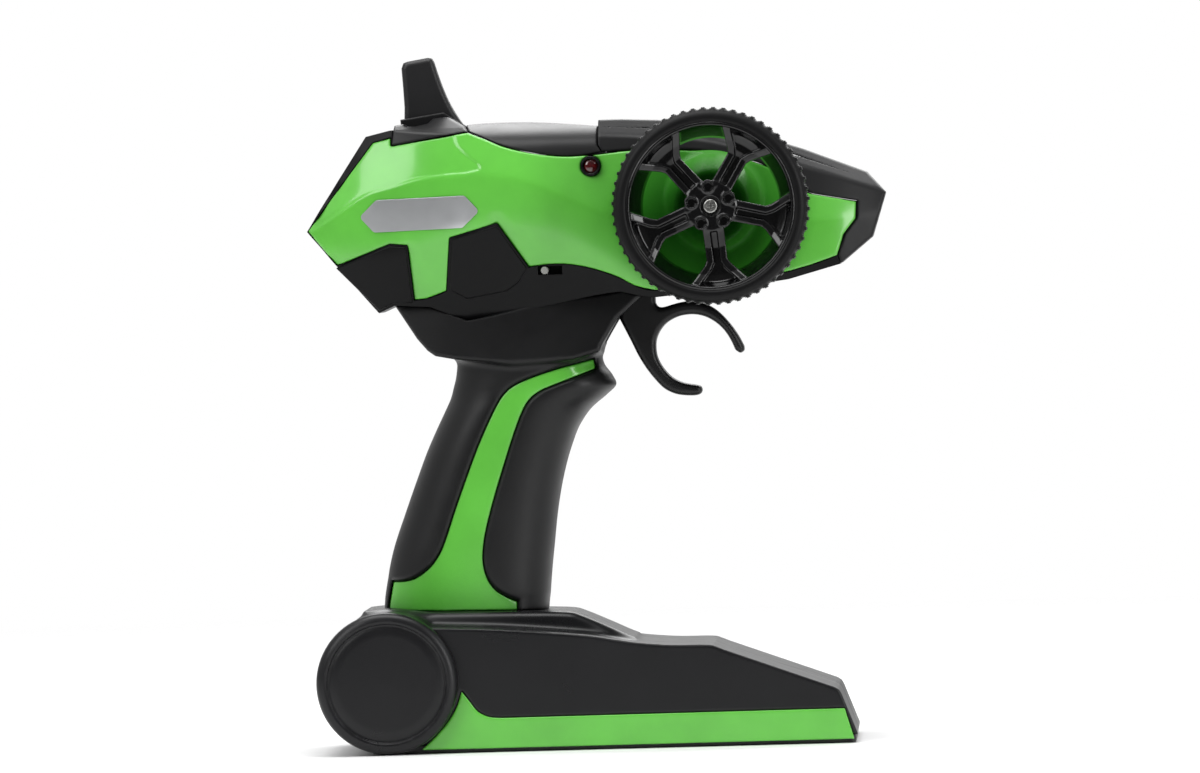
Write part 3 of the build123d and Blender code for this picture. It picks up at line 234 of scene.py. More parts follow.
GREEN = (96, 186, 66)
M = {
    # green_gloss carries painted shade: darker behind the wheel and along creases, with dimmer reflections there
    "green": plastic("green_gloss", GREEN, 0.17, grain=0.04, edge=0.5, wear=0.20, wear_rgb=(150, 208, 128), smudge=0.05, wave=0.10, coat=0.35, scratch=0.30, painted_shade=shade),
    "green_base": plastic("green_gloss_base", GREEN, 0.20, grain=0.05, edge=0.4, wear=0.25, wear_rgb=(150, 208, 128), smudge=0.05, wave=0.06, coat=0.3, scratch=0.4),
    "gloss": plastic("black_gloss", (9, 9, 10), 0.16, spec=0.40, grain=0.03, edge=0.4, wear=0.25, wear_rgb=(80, 80, 82), smudge=0.05, scratch=0.5, coat=0.3),
    "vent": plastic("black_moulded", (10, 10, 11), 0.36, spec=0.14, grain=0.10, edge=0.4, wear=0.25, wear_rgb=(74, 74, 76), smudge=0.06),
    "satin": plastic("black_satin", (21, 21, 22), 0.38, spec=0.26, grain_scale=3200, grain=0.25, edge=0.5, wear=0.30, wear_rgb=(92, 92, 94), smudge=0.07),
    "base": plastic("black_satin_base", (19, 19, 21), 0.32, spec=0.32, grain_scale=3200, grain=0.22, edge=0.5, wear=0.35, wear_rgb=(86, 86, 90), smudge=0.07),
    "grip": plastic("black_grip", (16, 16, 17), 0.40, spec=0.31, grain_scale=2600, grain=0.45, grain_mm=0.03, edge=0.6, wear=0.20, wear_rgb=(76, 76, 78), smudge=0.08),
    # painted light: the fin is the same satin black as the dome and cowl, given a lighter copy so it reads brighter
    "fin": plastic("black_satin_lit_copy", (30, 30, 31), 0.40, spec=0.34, grain_scale=3200, grain=0.25, edge=0.5, wear=0.30, wear_rgb=(92, 92, 94), smudge=0.07),
    "matte": plastic("black_matte", (26, 26, 27), 0.52, grain_scale=2200, grain=0.5, grain_mm=0.03, edge=0.4, wear=0.4, wear_rgb=(80, 80, 82)),
    "trigger": plastic("black_trigger", (14, 14, 15), 0.36, spec=0.35, grain=0.15, edge=0.5, wear=0.35, wear_rgb=(70, 70, 72)),
    "tyre": plastic("tyre_rubber", (7, 7, 8), 0.46, grain_scale=1800, grain=0.5, grain_mm=0.03, edge=0.25, wear=0.5, wear_rgb=(58, 57, 56), smudge=0.10, spec=0.20, scratch=0.4),
    "steel": plastic("nickel_steel", (176, 176, 172), 0.24, grain_scale=900, grain=0.12, edge=0.15, wear=0.3, wear_rgb=(225, 225, 220), metallic=1.0, scratch=1.0),
    "plate": plastic("silver_plate", (200, 202, 204), 0.30, grain_scale=3000, grain=0.15, edge=0.2, wear=0.2, wear_rgb=(235, 235, 235), metallic=0.85, scratch=0.06, smudge=0.03),
    "board": plastic("solder_mask", (16, 84, 46), 0.30, grain_scale=700, grain=0.3, edge=0.1, wear=0.3, wear_rgb=(120, 140, 90)),
    "component": plastic("component", (22, 22, 24), 0.45, edge=0.15, wear=0.3),
    "nub": plastic("grey_nub", (150, 150, 146), 0.40, edge=0.2, wear=0.4, wear_rgb=(190, 190, 186), grain=0.3),
    "acetal": plastic("white_acetal", (205, 205, 198), 0.42, edge=0.3, wear=0.2, wear_rgb=(225, 225, 222)),
    "cell": plastic("cell_sleeve", (34, 42, 60), 0.25, edge=0.3, wear=0.3, coat=0.4),
    "wire": plastic("wire_red", (150, 20, 20), 0.40, edge=0.1, wear=0.2),
    "red": lens_mat("red_lens", (104, 12, 16)),
}
USE = {
    "head_shell_right": "vent", "head_shell_left": "vent", "side_panel_right": "green", "side_panel_left": "green", "front_cowl": "satin",
    "top_cover": "satin", "antenna_fairing": "satin", "antenna_collar": "satin", "antenna_fin": "satin", "antenna_wire": "steel",
    "led_bezel": "gloss", "led_lens": "red", "name_plate_right": "plate", "name_plate_left": "plate", "shaft_bush": "acetal",
    "steering_shaft": "steel", "steering_return_arm": "acetal", "steering_potentiometer": "component", "mechanism_frame": "matte",
    "steering_spring": "steel", "wheel_tyre": "tyre", "steering_wheel_rim": "gloss", "wheel_screw": "steel", "trigger": "trigger",
    "trigger_pin": "steel", "throttle_potentiometer": "component", "trigger_spring": "steel", "deck_board": "board",
    "power_switch_body": "component", "power_switch_knob": "matte", "trim_potentiometers": "component", "steering_trim_dial": "matte",
    "throttle_trim_dial": "matte", "mode_switch_knob": "nub", "mode_switch_body": "component", "main_board": "board",
    "board_components": "component", "radio_module": "steel", "grip_shell_right": "grip", "grip_shell_left": "grip",
    "grip_inlay_right": "green", "grip_inlay_left": "green", "base_shell_right": "base", "base_shell_left": "base",
    "base_trim_right": "green_base", "base_trim_left": "green_base", "rear_cap_right": "base", "rear_cap_left": "base",
    "base_floor": "matte", "battery_door": "matte", "floor_screws": "steel", "door_screw": "steel", "battery_tray": "matte",
    "batteries": "cell", "battery_contacts": "steel", "battery_springs": "steel", "battery_leads": "wire", "shell_screws": "steel",
}


def smooth_group(angle):
    """Geometry nodes: shade smooth, with edges sharper than the angle kept sharp."""
    g = bpy.data.node_groups.new(f"smooth_{int(angle)}", "GeometryNodeTree")
    g.interface.new_socket("Geometry", in_out="INPUT", socket_type="NodeSocketGeometry")
    g.interface.new_socket("Geometry", in_out="OUTPUT", socket_type="NodeSocketGeometry")
    gi, go = g.nodes.new("NodeGroupInput"), g.nodes.new("NodeGroupOutput")
    face = g.nodes.new("GeometryNodeSetShadeSmooth")
    face.domain = "FACE"
    edge = g.nodes.new("GeometryNodeSetShadeSmooth")
    edge.domain = "EDGE"
    edge.inputs["Shade Smooth"].default_value = False
    ang = g.nodes.new("GeometryNodeInputMeshEdgeAngle")
    cmp_ = g.nodes.new("FunctionNodeCompare")
    cmp_.data_type = "FLOAT"
    cmp_.operation = "GREATER_THAN"
    cmp_.inputs[1].default_value = math.radians(angle)
    g.links.new(gi.outputs[0], face.inputs["Geometry"])
    g.links.new(face.outputs[0], edge.inputs["Geometry"])
    g.links.new(ang.outputs["Unsigned Angle"], cmp_.inputs[0])
    g.links.new(cmp_.outputs[0], edge.inputs["Selection"])
    g.links.new(edge.outputs[0], go.inputs[0])
    return g


SMOOTH = smooth_group(24)


def dress(obj, mat, smooth=True):
    obj.data.materials.clear()
    obj.data.materials.append(mat)
    if smooth:
        for name in ("custom_normal", "sharp_face", "sharp_edge"):
            a = obj.data.attributes.get(name)
            if a is not None:
                obj.data.attributes.remove(a)
        w = obj.modifiers.new("weld", "WELD")
        w.merge_threshold = 2e-6
        s = obj.modifiers.new("smooth", "NODES")
        s.node_group = SMOOTH


for name, obj in NODES.items():
    dress(obj, M[USE[name]])


# ------------------------------------------------- implicit surfaces to meshes
def sd_poly(px, pz, pts):
    """Signed distance to a closed polygon, negative inside."""
    d = np.full(px.shape, 1e18, np.float32)
    neg = np.zeros(px.shape, bool)
    for i in range(len(pts)):
        (ax, az), (bx, bz) = pts[i], pts[i - 1]
        ex, ez = bx - ax, bz - az
        wx, wz = px - ax, pz - az
        t = np.clip((wx * ex + wz * ez) / max(ex * ex + ez * ez, 1e-12), 0, 1)
        qx, qz = wx - ex * t, wz - ez * t
        d = np.minimum(d, qx * qx + qz * qz)
        c1, c2, c3 = pz >= az, pz < bz, ex * wz > ez * wx
        neg ^= (c1 & c2 & c3) | (~c1 & ~c2 & ~c3)
    return np.where(neg, -np.sqrt(d), np.sqrt(d)).astype(np.float32)


def sd_line(px, pz, pts, r):
    """Distance to an open polyline, minus r."""
    d = np.full(px.shape, 1e18, np.float32)
    for (ax, az), (bx, bz) in zip(pts, pts[1:]):
        ex, ez = bx - ax, bz - az
        wx, wz = px - ax, pz - az
        t = np.clip((wx * ex + wz * ez) / max(ex * ex + ez * ez, 1e-12), 0, 1)
        qx, qz = wx - ex * t, wz - ez * t
        d = np.minimum(d, qx * qx + qz * qz)
    return np.sqrt(d) - r


def smin(a, b, k):
    h = np.maximum(k - np.abs(a - b), 0) / k
    return np.minimum(a, b) - h * h * k * 0.25


def smax(a, b, k):
    return -smin(-a, -b, k)


def both(a, b, r):
    """Intersection of two distances with edges rounded to radius r."""
    a, b = a + r, b + r
    return np.minimum(np.maximum(a, b), 0) + np.sqrt(np.maximum(a, 0) ** 2 + np.maximum(b, 0) ** 2) - r


def curve(pts, per=6):
    """Closed Catmull-Rom style resampling of an open list of points."""
    out = []
    n = len(pts)
    for i in range(n - 1):
        p0, p1, p2, p3 = pts[max(i - 1, 0)], pts[i], pts[i + 1], pts[min(i + 2, n - 1)]
        for j in range(per):
            t = j / per
            out.append(tuple(0.5 * (2 * p1[k] + (p2[k] - p0[k]) * t + (2 * p0[k] - 5 * p1[k] + 4 * p2[k] - p3[k]) * t * t
                                    + (3 * p1[k] - p0[k] - 3 * p2[k] + p3[k]) * t ** 3) for k in range(2)))
    out.append(tuple(pts[-1]))
    return out


def nets(fn, lo, hi, h):
    """Surface nets over fn(X, Y, Z) < 0 on a grid of cell h, in mm. Returns vertices (mm) and quads."""
    axes = [np.arange(lo[i], hi[i] + h, h, dtype=np.float32) for i in range(3)]
    X, Y, Z = np.meshgrid(*axes, indexing="ij", sparse=True)
    V = np.ascontiguousarray(np.broadcast_to(fn(X, Y, Z), tuple(len(a) for a in axes)), dtype=np.float32)
    S = V < 0
    nx, ny, nz = V.shape
    cnt = np.zeros((nx - 1, ny - 1, nz - 1), np.int8)
    for i in (0, 1):
        for j in (0, 1):
            for k in (0, 1):
                cnt += S[i:nx - 1 + i, j:ny - 1 + j, k:nz - 1 + k]
    act = (cnt > 0) & (cnt < 8)
    ci, cj, ck = np.nonzero(act)
    index = np.full(act.shape, -1, np.int32)
    index[ci, cj, ck] = np.arange(len(ci), dtype=np.int32)
    pos = np.zeros((len(ci), 3), np.float32)
    num = np.zeros(len(ci), np.float32)
    corners = [(i, j, k) for i in (0, 1) for j in (0, 1) for k in (0, 1)]
    vals = {c: V[ci + c[0], cj + c[1], ck + c[2]] for c in corners}
    for a in corners:
        for ax in range(3):
            if a[ax]:
                continue
            b = tuple(1 if m == ax else a[m] for m in range(3))
            va, vb = vals[a], vals[b]
            m = (va < 0) != (vb < 0)
            t = np.where(m, va / np.where(m, va - vb, 1), 0)
            for c in range(3):
                pos[:, c] += np.where(m, a[c] + (t if c == ax else 0), 0)
            num += m
    pos /= num[:, None]
    base = np.stack([ci, cj, ck], 1).astype(np.float32)
    G = base + pos
    # pull each vertex onto the surface
    for _ in range(3):
        I = np.clip(G.astype(np.int32), 0, np.array(V.shape) - 2)
        F = G - I
        i, j, k = I.T
        fx, fy, fz = F.T
        c000, c100 = V[i, j, k], V[i + 1, j, k]
        c010, c110 = V[i, j + 1, k], V[i + 1, j + 1, k]
        c001, c101 = V[i, j, k + 1], V[i + 1, j, k + 1]
        c011, c111 = V[i, j + 1, k + 1], V[i + 1, j + 1, k + 1]
        x00, x10 = c000 + (c100 - c000) * fx, c010 + (c110 - c010) * fx
        x01, x11 = c001 + (c101 - c001) * fx, c011 + (c111 - c011) * fx
        y0, y1 = x00 + (x10 - x00) * fy, x01 + (x11 - x01) * fy
        v = y0 + (y1 - y0) * fz
        gx = ((c100 - c000) * (1 - fy) + (c110 - c010) * fy) * (1 - fz) + ((c101 - c001) * (1 - fy) + (c111 - c011) * fy) * fz
        gy = (x10 - x00) * (1 - fz) + (x11 - x01) * fz
        gz = y1 - y0
        g2 = gx * gx + gy * gy + gz * gz + 1e-9
        step = np.clip(v / g2, -0.6, 0.6)[:, None] * np.stack([gx, gy, gz], 1)
        G = G - np.clip(step, -0.35, 0.35)
    quads = []
    for ax in range(3):
        o1, o2 = (ax + 1) % 3, (ax + 2) % 3
        sl_a = [slice(None)] * 3
        sl_b = [slice(None)] * 3
        sl_a[ax], sl_b[ax] = slice(0, -1), slice(1, None)
        A, B = S[tuple(sl_a)], S[tuple(sl_b)]
        ch = A != B
        e = np.argwhere(ch)
        keep = (e[:, o1] > 0) & (e[:, o2] > 0) & (e[:, o1] < V.shape[o1] - 1) & (e[:, o2] < V.shape[o2] - 1)
        e = e[keep]
        d1, d2 = np.zeros(3, int), np.zeros(3, int)
        d1[o1], d2[o2] = 1, 1
        q = np.stack([index[tuple((e - d1 - d2).T)], index[tuple((e - d2).T)], index[tuple(e.T)], index[tuple((e - d1).T)]], 1)
        inside_low = A[tuple(e.T)]
        q[~inside_low] = q[~inside_low][:, ::-1]
        quads.append(q)
    quads = np.concatenate(quads)
    verts = G * h + np.array([a[0] for a in axes], np.float32)
    return verts, quads


def mesh_obj(name, verts, faces, mat, body, replaced=(), smooth=True):
    """Mesh object from mm vertices; faces is an (n, 4) array or a list."""
    me = bpy.data.meshes.new(name)
    verts = np.asarray(verts, np.float32) * MM
    if isinstance(faces, np.ndarray):
        me.vertices.add(len(verts))
        me.vertices.foreach_set("co", verts.ravel())
        me.loops.add(faces.size)
        me.loops.foreach_set("vertex_index", faces.astype(np.int32).ravel())
        me.polygons.add(len(faces))
        me.polygons.foreach_set("loop_start", np.arange(0, faces.size, faces.shape[1], dtype=np.int32))
        me.update(calc_edges=True)
    else:
        me.from_pydata([tuple(v) for v in verts], [], faces)
    me.validate()
    if smooth:
        me.polygons.foreach_set("use_smooth", np.ones(len(me.polygons), bool))
    me.materials.append(mat)
    o = bpy.data.objects.new(name, me)
    bpy.context.scene.collection.objects.link(o)
    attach(o, body)
    if replaced:
        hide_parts(*replaced)
    return o


# --------------------------------------------------------------- the steering wheel
WX, WZ, WY = 39.2, 153.9, -42.5
SPOKE0 = math.radians(-84.5)


def rim_field(X, Y, Z):
    u, v, w = X - WX, Z - WZ, -(Y - WY)
    r = np.sqrt(u * u + v * v)
    a = (np.arctan2(v, u) - SPOKE0) % (2 * math.pi / 5)
    a = np.where(a > math.pi / 5, a - 2 * math.pi / 5, a)
    ca, sa = r * np.cos(a), np.abs(r * np.sin(a))
    dish = np.interp(r, [6.5, 8.5, 12.0, 16.0, 19.5, 22.0, 24.0], [5.9, 5.5, 4.9, 4.9, 5.7, 6.9, 7.6]).astype(np.float32)
    rib2 = sd_line(ca, sa, [(6.0, 2.05), (15.6, 1.95), (17.3, 2.9), (23.4, 8.5)], 1.02)
    web2 = sd_poly(ca, sa, [(3.0, -1.0), (3.0, 2.0), (15.8, 2.0), (17.3, 3.0), (23.3, 8.6), (23.9, 5.0), (23.9, -1.0)])
    rib = both(rib2, smax(w - dish, -(w + 1.2), 0.3), 0.38)
    web = both(web2, smax(w - (dish - 2.3 - 0.9 * np.clip((r - 17.5) / 5, 0, 1)), -(w + 1.2), 0.3), 0.2)
    hub = both(r - 7.3, np.maximum(w - 5.9, -(w + 6.4)), 0.5)
    hub = smin(hub, both(r - 5.6, np.maximum(w - 0.0, -(w + 6.5)), 0.4), 0.3)
    d = smin(smin(rib, web, 0.5), hub, 0.5)
    # lug recesses with raised rims, screw recess
    b = (np.arctan2(v, u) - SPOKE0 - math.pi / 5) % (2 * math.pi / 5)
    b = np.where(b > math.pi / 5, b - 2 * math.pi / 5, b)
    lx, ly = r * np.cos(b) - 5.55, r * np.sin(b)
    lr = np.sqrt(lx * lx + ly * ly)
    ring = np.sqrt((lr - 1.72) ** 2 + (w - 5.9) ** 2) - 0.30
    d = smin(d, ring, 0.2)
    d = smax(d, -both(lr - 1.42, -(w - 3.9), 0.2), 0.25)
    d = smax(d, -both(r - 2.75, -(w - 5.15), 0.2), 0.3)
    tube = np.interp(w, [-6.9, -5.2, -1.5, 3.0, 7.0, 7.9, 8.3], [19.6, 19.5, 20.0, 21.5, 22.8, 23.2, 23.7]).astype(np.float32)
    wall = both(np.maximum(r - 24.05, tube - r), np.maximum(w - 8.2, -(w + 6.9)), 0.25)
    step = np.sqrt((r - 23.35) ** 2 + (w - 7.9) ** 2) - 0.45
    d = smin(smin(d, wall, 0.45), step, 0.3)
    return d


def build_rim():
    h = 0.2
    v, q = nets(rim_field, (WX - 24.6, WY - 8.8, WZ - 24.6), (WX + 24.6, WY + 7.4, WZ + 24.6), h)
    return mesh_obj("wheel_rim_visual", v, q, M["gloss"], "steering", ["steering_wheel_rim"])


def build_tyre():
    prof = curve([(23.9, 6.6), (23.85, 7.6), (24.1, 8.2), (24.8, 8.5), (25.8, 8.42), (26.7, 7.95), (27.25, 7.2), (27.5, 6.4), (27.6, 5.2), (27.62, 2.6), (27.62, 0)], 4)
    prof = prof + [(r, -w) for r, w in reversed(prof[:-1])]
    per, n = 14, 60
    seg = n * per
    verts, faces = [], []
    for i in range(seg):
        ph = (i % per) / per
        tooth = 1.0 if 0.29 <= ph <= 0.71 else 0.0
        if abs(ph - 0.215) < 0.04 or abs(ph - 0.785) < 0.04:
            tooth = 0.45
        th = 2 * math.pi * i / seg
        for r, w in prof:
            aw = abs(w)
            k = min(1.0, max(0.0, (7.35 - aw) / 0.7)) * min(1.0, max(0.0, (aw - 0.55) / 0.35))
            rr = r + (0.56 * tooth * k if r > 26.6 else 0)
            verts.append((WX + rr * math.cos(th), WY - w, WZ + rr * math.sin(th)))
    m = len(prof)
    for i in range(seg):
        for j in range(m):
            a, b = i * m + j, i * m + (j + 1) % m
            c, d = ((i + 1) % seg) * m + (j + 1) % m, ((i + 1) % seg) * m + j
            faces.append((a, b, c, d))
    o = mesh_obj("wheel_tyre_visual", verts, faces, M["tyre"], "steering", ["wheel_tyre"], smooth=True)
    s = o.modifiers.new("smooth", "NODES")
    s.node_group = SMOOTH
    return o


# --------------------------------------------------------------------- trigger
def trigger_outline():
    outer = curve([(21.5, 126.6), (22.2, 125.5), (23.8, 125.3), (28.0, 126.4), (31.2, 126.8), (34.1, 126.4), (37.3, 125.2), (40.2, 123.0), (43.0, 119.8), (45.2, 116.5), (46.7, 113.5)], 4)
    tip = curve([(46.7, 113.5), (46.7, 112.2), (45.6, 111.5), (44.2, 112.4)], 3)[1:]
    inner = curve([(44.2, 112.4), (42.9, 115.4), (41.2, 118.1), (38.9, 120.4), (36.1, 122.1), (33.2, 122.9), (30.2, 122.9), (27.3, 122.2), (24.6, 120.7), (22.7, 118.6), (21.6, 116.3),
                   (21.3, 114.2), (21.5, 111.6), (22.4, 109.2), (24.0, 106.8), (26.2, 104.7), (29.1, 103.3), (32.2, 102.7)], 4)[1:]
    tip2 = curve([(32.2, 102.7), (33.9, 102.2), (34.3, 100.9), (33.6, 99.9), (31.9, 99.6)], 3)[1:]
    back = curve([(31.9, 99.6), (29.6, 99.7), (26.7, 100.2), (23.8, 101.6), (21.5, 103.8), (18.7, 107.4), (16.2, 111.6), (14.2, 115.9), (11.0, 122.5)], 4)[1:]
    return outer + tip + inner + tip2 + back + [(11.2, 136.0), (21.3, 136.0)]


def trigger_field(X, Y, Z):
    x2, z2 = np.broadcast_arrays(X, Z)
    d2 = sd_poly(x2, z2, trigger_outline())
    half = 5.2 - 0.9 * np.clip((Z - 118) / -18, 0, 1) * 0
    d = both(d2, np.abs(Y) - half, 1.45)
    px, pz = X - 16.5, Z - 139.0
    boss = both(np.sqrt(px * px + pz * pz) - 5.2, np.abs(Y) - 5.2, 0.4)
    return smin(d, boss, 0.8)


def build_trigger():
    h = 0.3
    v, q = nets(trigger_field, (9.5, -6.4, 98.4), (48.4, 6.4, 145.5), h)
    return mesh_obj("trigger_visual", v, q, M["trigger"], "throttle", ["trigger"])


# ------------------------------------------------------------------ grip and neck
def hermite(x, pts):
    """Smooth curve through (x, y) points."""
    xs, ys = np.array([p[0] for p in pts], np.float64), np.array([p[1] for p in pts], np.float64)
    m = np.gradient(ys, xs)
    x = np.clip(x, xs[0], xs[-1])
    i = np.clip(np.searchsorted(xs, x) - 1, 0, len(xs) - 2)
    h = xs[i + 1] - xs[i]
    t = (x - xs[i]) / h
    return ((2 * t ** 3 - 3 * t ** 2 + 1) * ys[i] + (t ** 3 - 2 * t ** 2 + t) * h * m[i] + (-2 * t ** 3 + 3 * t ** 2) * ys[i + 1] + (t ** 3 - t ** 2) * h * m[i + 1]).astype(np.float32)


def soft(t, k):
    """0 below zero, t above, with a rounded corner."""
    return 0.5 * (t + np.sqrt(t * t + k * k))


GRIP = [(34.0, -59.6, -11.6, 16.2), (40.5, -59.1, -11.8, 16.2), (49.8, -57.5, -11.1, 16.3), (58.0, -55.4, -10.1, 16.4), (68.0, -51.8, -8.8, 16.5),
        (78.0, -48.0, -6.8, 16.6), (86.0, -44.8, -4.4, 16.7), (92.8, -41.6, -1.4, 16.8), (97.2, -39.4, 2.0, 16.9), (100.6, -37.8, 6.2, 17.0),
        (103.3, -37.0, 8.9, 17.1), (106.0, -36.4, 8.2, 17.15), (109.5, -36.1, 6.1, 17.2), (113.5, -36.0, 5.8, 17.3), (118.0, -36.0, 7.6, 17.0),
        (123.5, -36.0, 10.6, 16.6)]
NECK = [(-53.0, 127.7), (-46.8, 118.1), (-43.9, 114.7), (-41.7, 113.1), (-36.0, 112.0), (-20, 110.2), (-2, 111.0), (5.6, 113.2), (6.2, 114.9),
        (8.2, 118.3), (10.9, 122.6), (17.7, 128.6), (12.3, 130.0)] + curve([(12.3, 130.0), (4.0, 129.0), (-5.0, 127.3), (-18, 125.0), (-32.3, 122.9)], 4) + [(-43.0, 127.1)]
NECK_TALL = [(-57.0, 134.0)] + NECK[1:12] + [(24.0, 134.0)]
INLAY = [(3.4, 111.0), (-5.1, 109.0)] + curve([(-5.1, 109.0), (-13.4, 106.5), (-18.9, 104.3), (-21.8, 102.2), (-24.0, 99.4), (-26.9, 94.0), (-30.4, 86.5), (-33.9, 77.8), (-37.4, 68.6),
        (-40.1, 61.0), (-42.2, 56.2), (-45.0, 52.5), (-48.9, 49.6), (-52.2, 48.6), (-56.1, 48.4)], 4)[1:] + [(-57.3, 42.4), (-58.0, 36.0), (-20.5, 36.0), (-20.3, 41.9)] \
    + curve([(-20.3, 41.9), (-23.4, 43.3), (-26.6, 45.6), (-28.7, 48.9), (-29.7, 53.1), (-29.5, 58.0), (-28.3, 64.0), (-25.8, 72.6), (-22.9, 81.3),
             (-19.9, 90.0), (-17.2, 96.6), (-15.0, 100.0), (-11.9, 102.3), (-7.4, 104.1), (3.9, 108.2)], 4)[1:]
PLATFORM = [(-64.0, 20.0), (-64.0, 40.1), (-11.8, 39.2)] + curve([(-11.8, 39.2), (-4.9, 38.8), (-1.6, 37.8), (3.0, 35.8), (7.9, 33.5), (13.0, 30.6)], 4)[1:] + [(13.0, 20.0)]
SCREWS_GRIP = [(-24.0, 117.0), (-36.0, 82.0), (-34.0, 48.0)]


def grip_body(X, Y, Z, d=0.0):
    xb = hermite(Z, [(g[0], g[1]) for g in GRIP])
    xf = hermite(Z, [(g[0], g[2]) for g in GRIP])
    hw = hermite(Z, [(g[0], g[3]) for g in GRIP])
    a, b, xc, n = (xf - xb) / 2, hw, (xf + xb) / 2, 2.5
    u, v = np.abs(X - xc) / a, np.abs(Y) / b
    s = np.maximum(u ** n + v ** n, 1e-6)
    F = s ** (1 / n)
    g = s ** (1 / n - 1) * np.sqrt((u ** (n - 1) / a) ** 2 + (v ** (n - 1) / b) ** 2)
    return ((F - 1) / np.maximum(g, 1e-4)).astype(np.float32)


def neck_width(X, Z):
    w = np.interp(Z, [104.0, 112.0, 124.0, 131.0], [19.2, 19.2, 17.6, 16.6])
    return w - 0.10 * soft(X + 6.0, 8.0) - 0.16 * soft(-38.0 - X, 6.0)


def grip_fields(X, Y, Z):
    """(body with raised pads, inlay outline, bare body, neck)"""
    x2, z2 = np.broadcast_arrays(X, Z)
    body = grip_body(X, Y, Z)
    di = sd_poly(x2, z2, INLAY)
    swell = 0.55 * (1 - np.exp(-np.clip(di, 0, 20) / 2.2)) * np.clip((112 - Z) / 8, 0, 1) * np.clip((Z - 38) / 6, 0, 1)
    neck = both(sd_poly(x2, z2, NECK_TALL), np.abs(Y) - neck_width(X, Z), 1.3)
    neck = smax(neck, 0.03 - sd_poly(x2, z2, HEAD), 0.12)
    return body - swell, di, body, neck


def grip_shell_field(sign):
    def f(X, Y, Z):
        pads, di, body, neck = grip_fields(X, Y, Z)
        x2, z2 = np.broadcast_arrays(X, Z)
        padded = both(pads, 0.12 - di, 1.15)
        core = body + 1.5
        d = np.minimum(padded, core)
        d = smax(d, 36.2 - Z, 0.2)
        d = smin(d, neck, 2.6)
        d = np.maximum(d, -np.maximum(di - 0.12, -core))          # keep the channel clear through the neck blend
        d = np.maximum(d, -np.maximum(body + 3.2, Z - 121.0))       # hollow
        d = smax(d, -(sd_poly(x2, z2, PLATFORM) - 0.1), 0.15)
        d = both(d, sign * -Y + 0.03, 0.22)
        if sign > 0:
            for sx, sz in SCREWS_GRIP:
                r = np.sqrt((X - sx) ** 2 + (Z - sz) ** 2) - 2.95
                d = smax(d, -np.maximum(r, 7.0 - Y), 0.25)
        # clear of the head above the parting line and of the trigger
        slot = np.maximum(np.maximum(np.abs(Y) - 6.9, 2.8 - X), np.maximum(X - 43, 115.6 - Z))
        d = smax(d, -slot, 0.3)
        return d
    return f


def inlay_field(sign):
    def f(X, Y, Z):
        _, di, body, _ = grip_fields(X, Y, Z)
        x2, z2 = np.broadcast_arrays(X, Z)
        d = both(body + 0.55, di + 0.06, 0.3)
        d = np.maximum(d, -(body + 1.45))
        d = smax(d, -(sd_poly(x2, z2, PLATFORM) - 0.15), 0.2)
        d = np.maximum(d, sign * -Y + 3.0)
        if sign > 0:
            for sx, sz in SCREWS_GRIP:
                d = smax(d, 3.2 - np.sqrt((X - sx) ** 2 + (Z - sz) ** 2), 0.2)
        return d
    return f


def build_grip():
    h = 0.32
    for sign, side in ((-1, "right"), (1, "left")):
        y0, y1 = (-20.5, 0.6) if sign < 0 else (-0.6, 20.5)
        v, q = nets(grip_shell_field(sign), (-61.5, y0, 35.5), (20.0, y1, 132.0), h)
        mesh_obj(f"grip_{side}_visual", v, q, M["grip"], "housing", [f"grip_shell_{side}"])
        v, q = nets(inlay_field(sign), (-60.5, y0, 38.0), (6.0, y1, 112.5), h)
        mesh_obj(f"grip_inlay_{side}_visual", v, q, M["green"], "housing", [f"grip_inlay_{side}"])


# ------------------------------------------------------------------------- head
HALF = [(-82, 17.5), (-77.5, 19), (-66, 23.5), (-52, 27), (-36, 29), (-20, 29.5), (0, 29), (20, 28), (40, 27),
        (60, 24.5), (76, 20.5), (88, 15.5), (95, 13.5)]
CREASE = [(-82, 147.5), (-77.5, 149.8), (-61, 159.6), (-51.2, 162.5), (-39, 164.2), (-26.8, 164.5), (-18, 163.7),
          (-9.2, 160.8), (2.7, 155.0), (12.8, 151.0), (35.6, 148.2), (67.4, 148.9), (80, 149.7), (95, 153)]
CREASE2 = [(-82, 143), (-50, 143), (-28.6, 149.5), (-15.4, 149.0), (-3.4, 146.0), (5.5, 141.4), (12.4, 137.0), (95, 134)]
COWL_LINE = [(-82, 174.6), (20, 174.6), (36.5, 173.2), (60, 166.5), (84, 158.5), (95, 155)]
HEAD = [(-77.5, 149.8), (-72.7, 157.2), (-59.8, 176.6), (-52.7, 178.2), (-36, 179.0), (-31.5, 179.3), (-17.5, 179.8), (6.8, 179.7), (24.2, 179.2), (36.5, 178.0),
        (47.8, 175.7), (65.4, 169.8), (83.5, 162.7), (88.8, 156.7), (84.7, 144.0), (75.3, 136.4), (60.4, 132.4), (40.8, 129.9), (22.2, 128.3), (17.9, 128.8), (12.3, 130.2),
        (-5.0, 127.5), (-32.3, 123.1), (-43.0, 127.3), (-53.0, 127.9), (-57.6, 125.9)]
COWL = [(6.8, 179.7), (13.6, 179.7), (24.2, 179.2), (36.5, 178.0), (47.8, 175.7), (65.4, 169.8), (83.5, 162.7), (88.8, 156.7), (84.7, 144.0), (75.3, 136.4), (74.6, 139.2),
        (76.7, 144.9), (80.3, 149.4), (80.6, 154.4), (67.6, 156.8), (63.4, 158.8), (56.9, 163.9)] \
    + curve([(56.9, 163.9), (51.8, 166.3), (45, 168.1), (39.6, 169.5), (31.7, 170.3), (22, 170.8), (13.4, 170.5), (8.0, 170.3)], 3)[1:] + [(6.8, 172.4)]
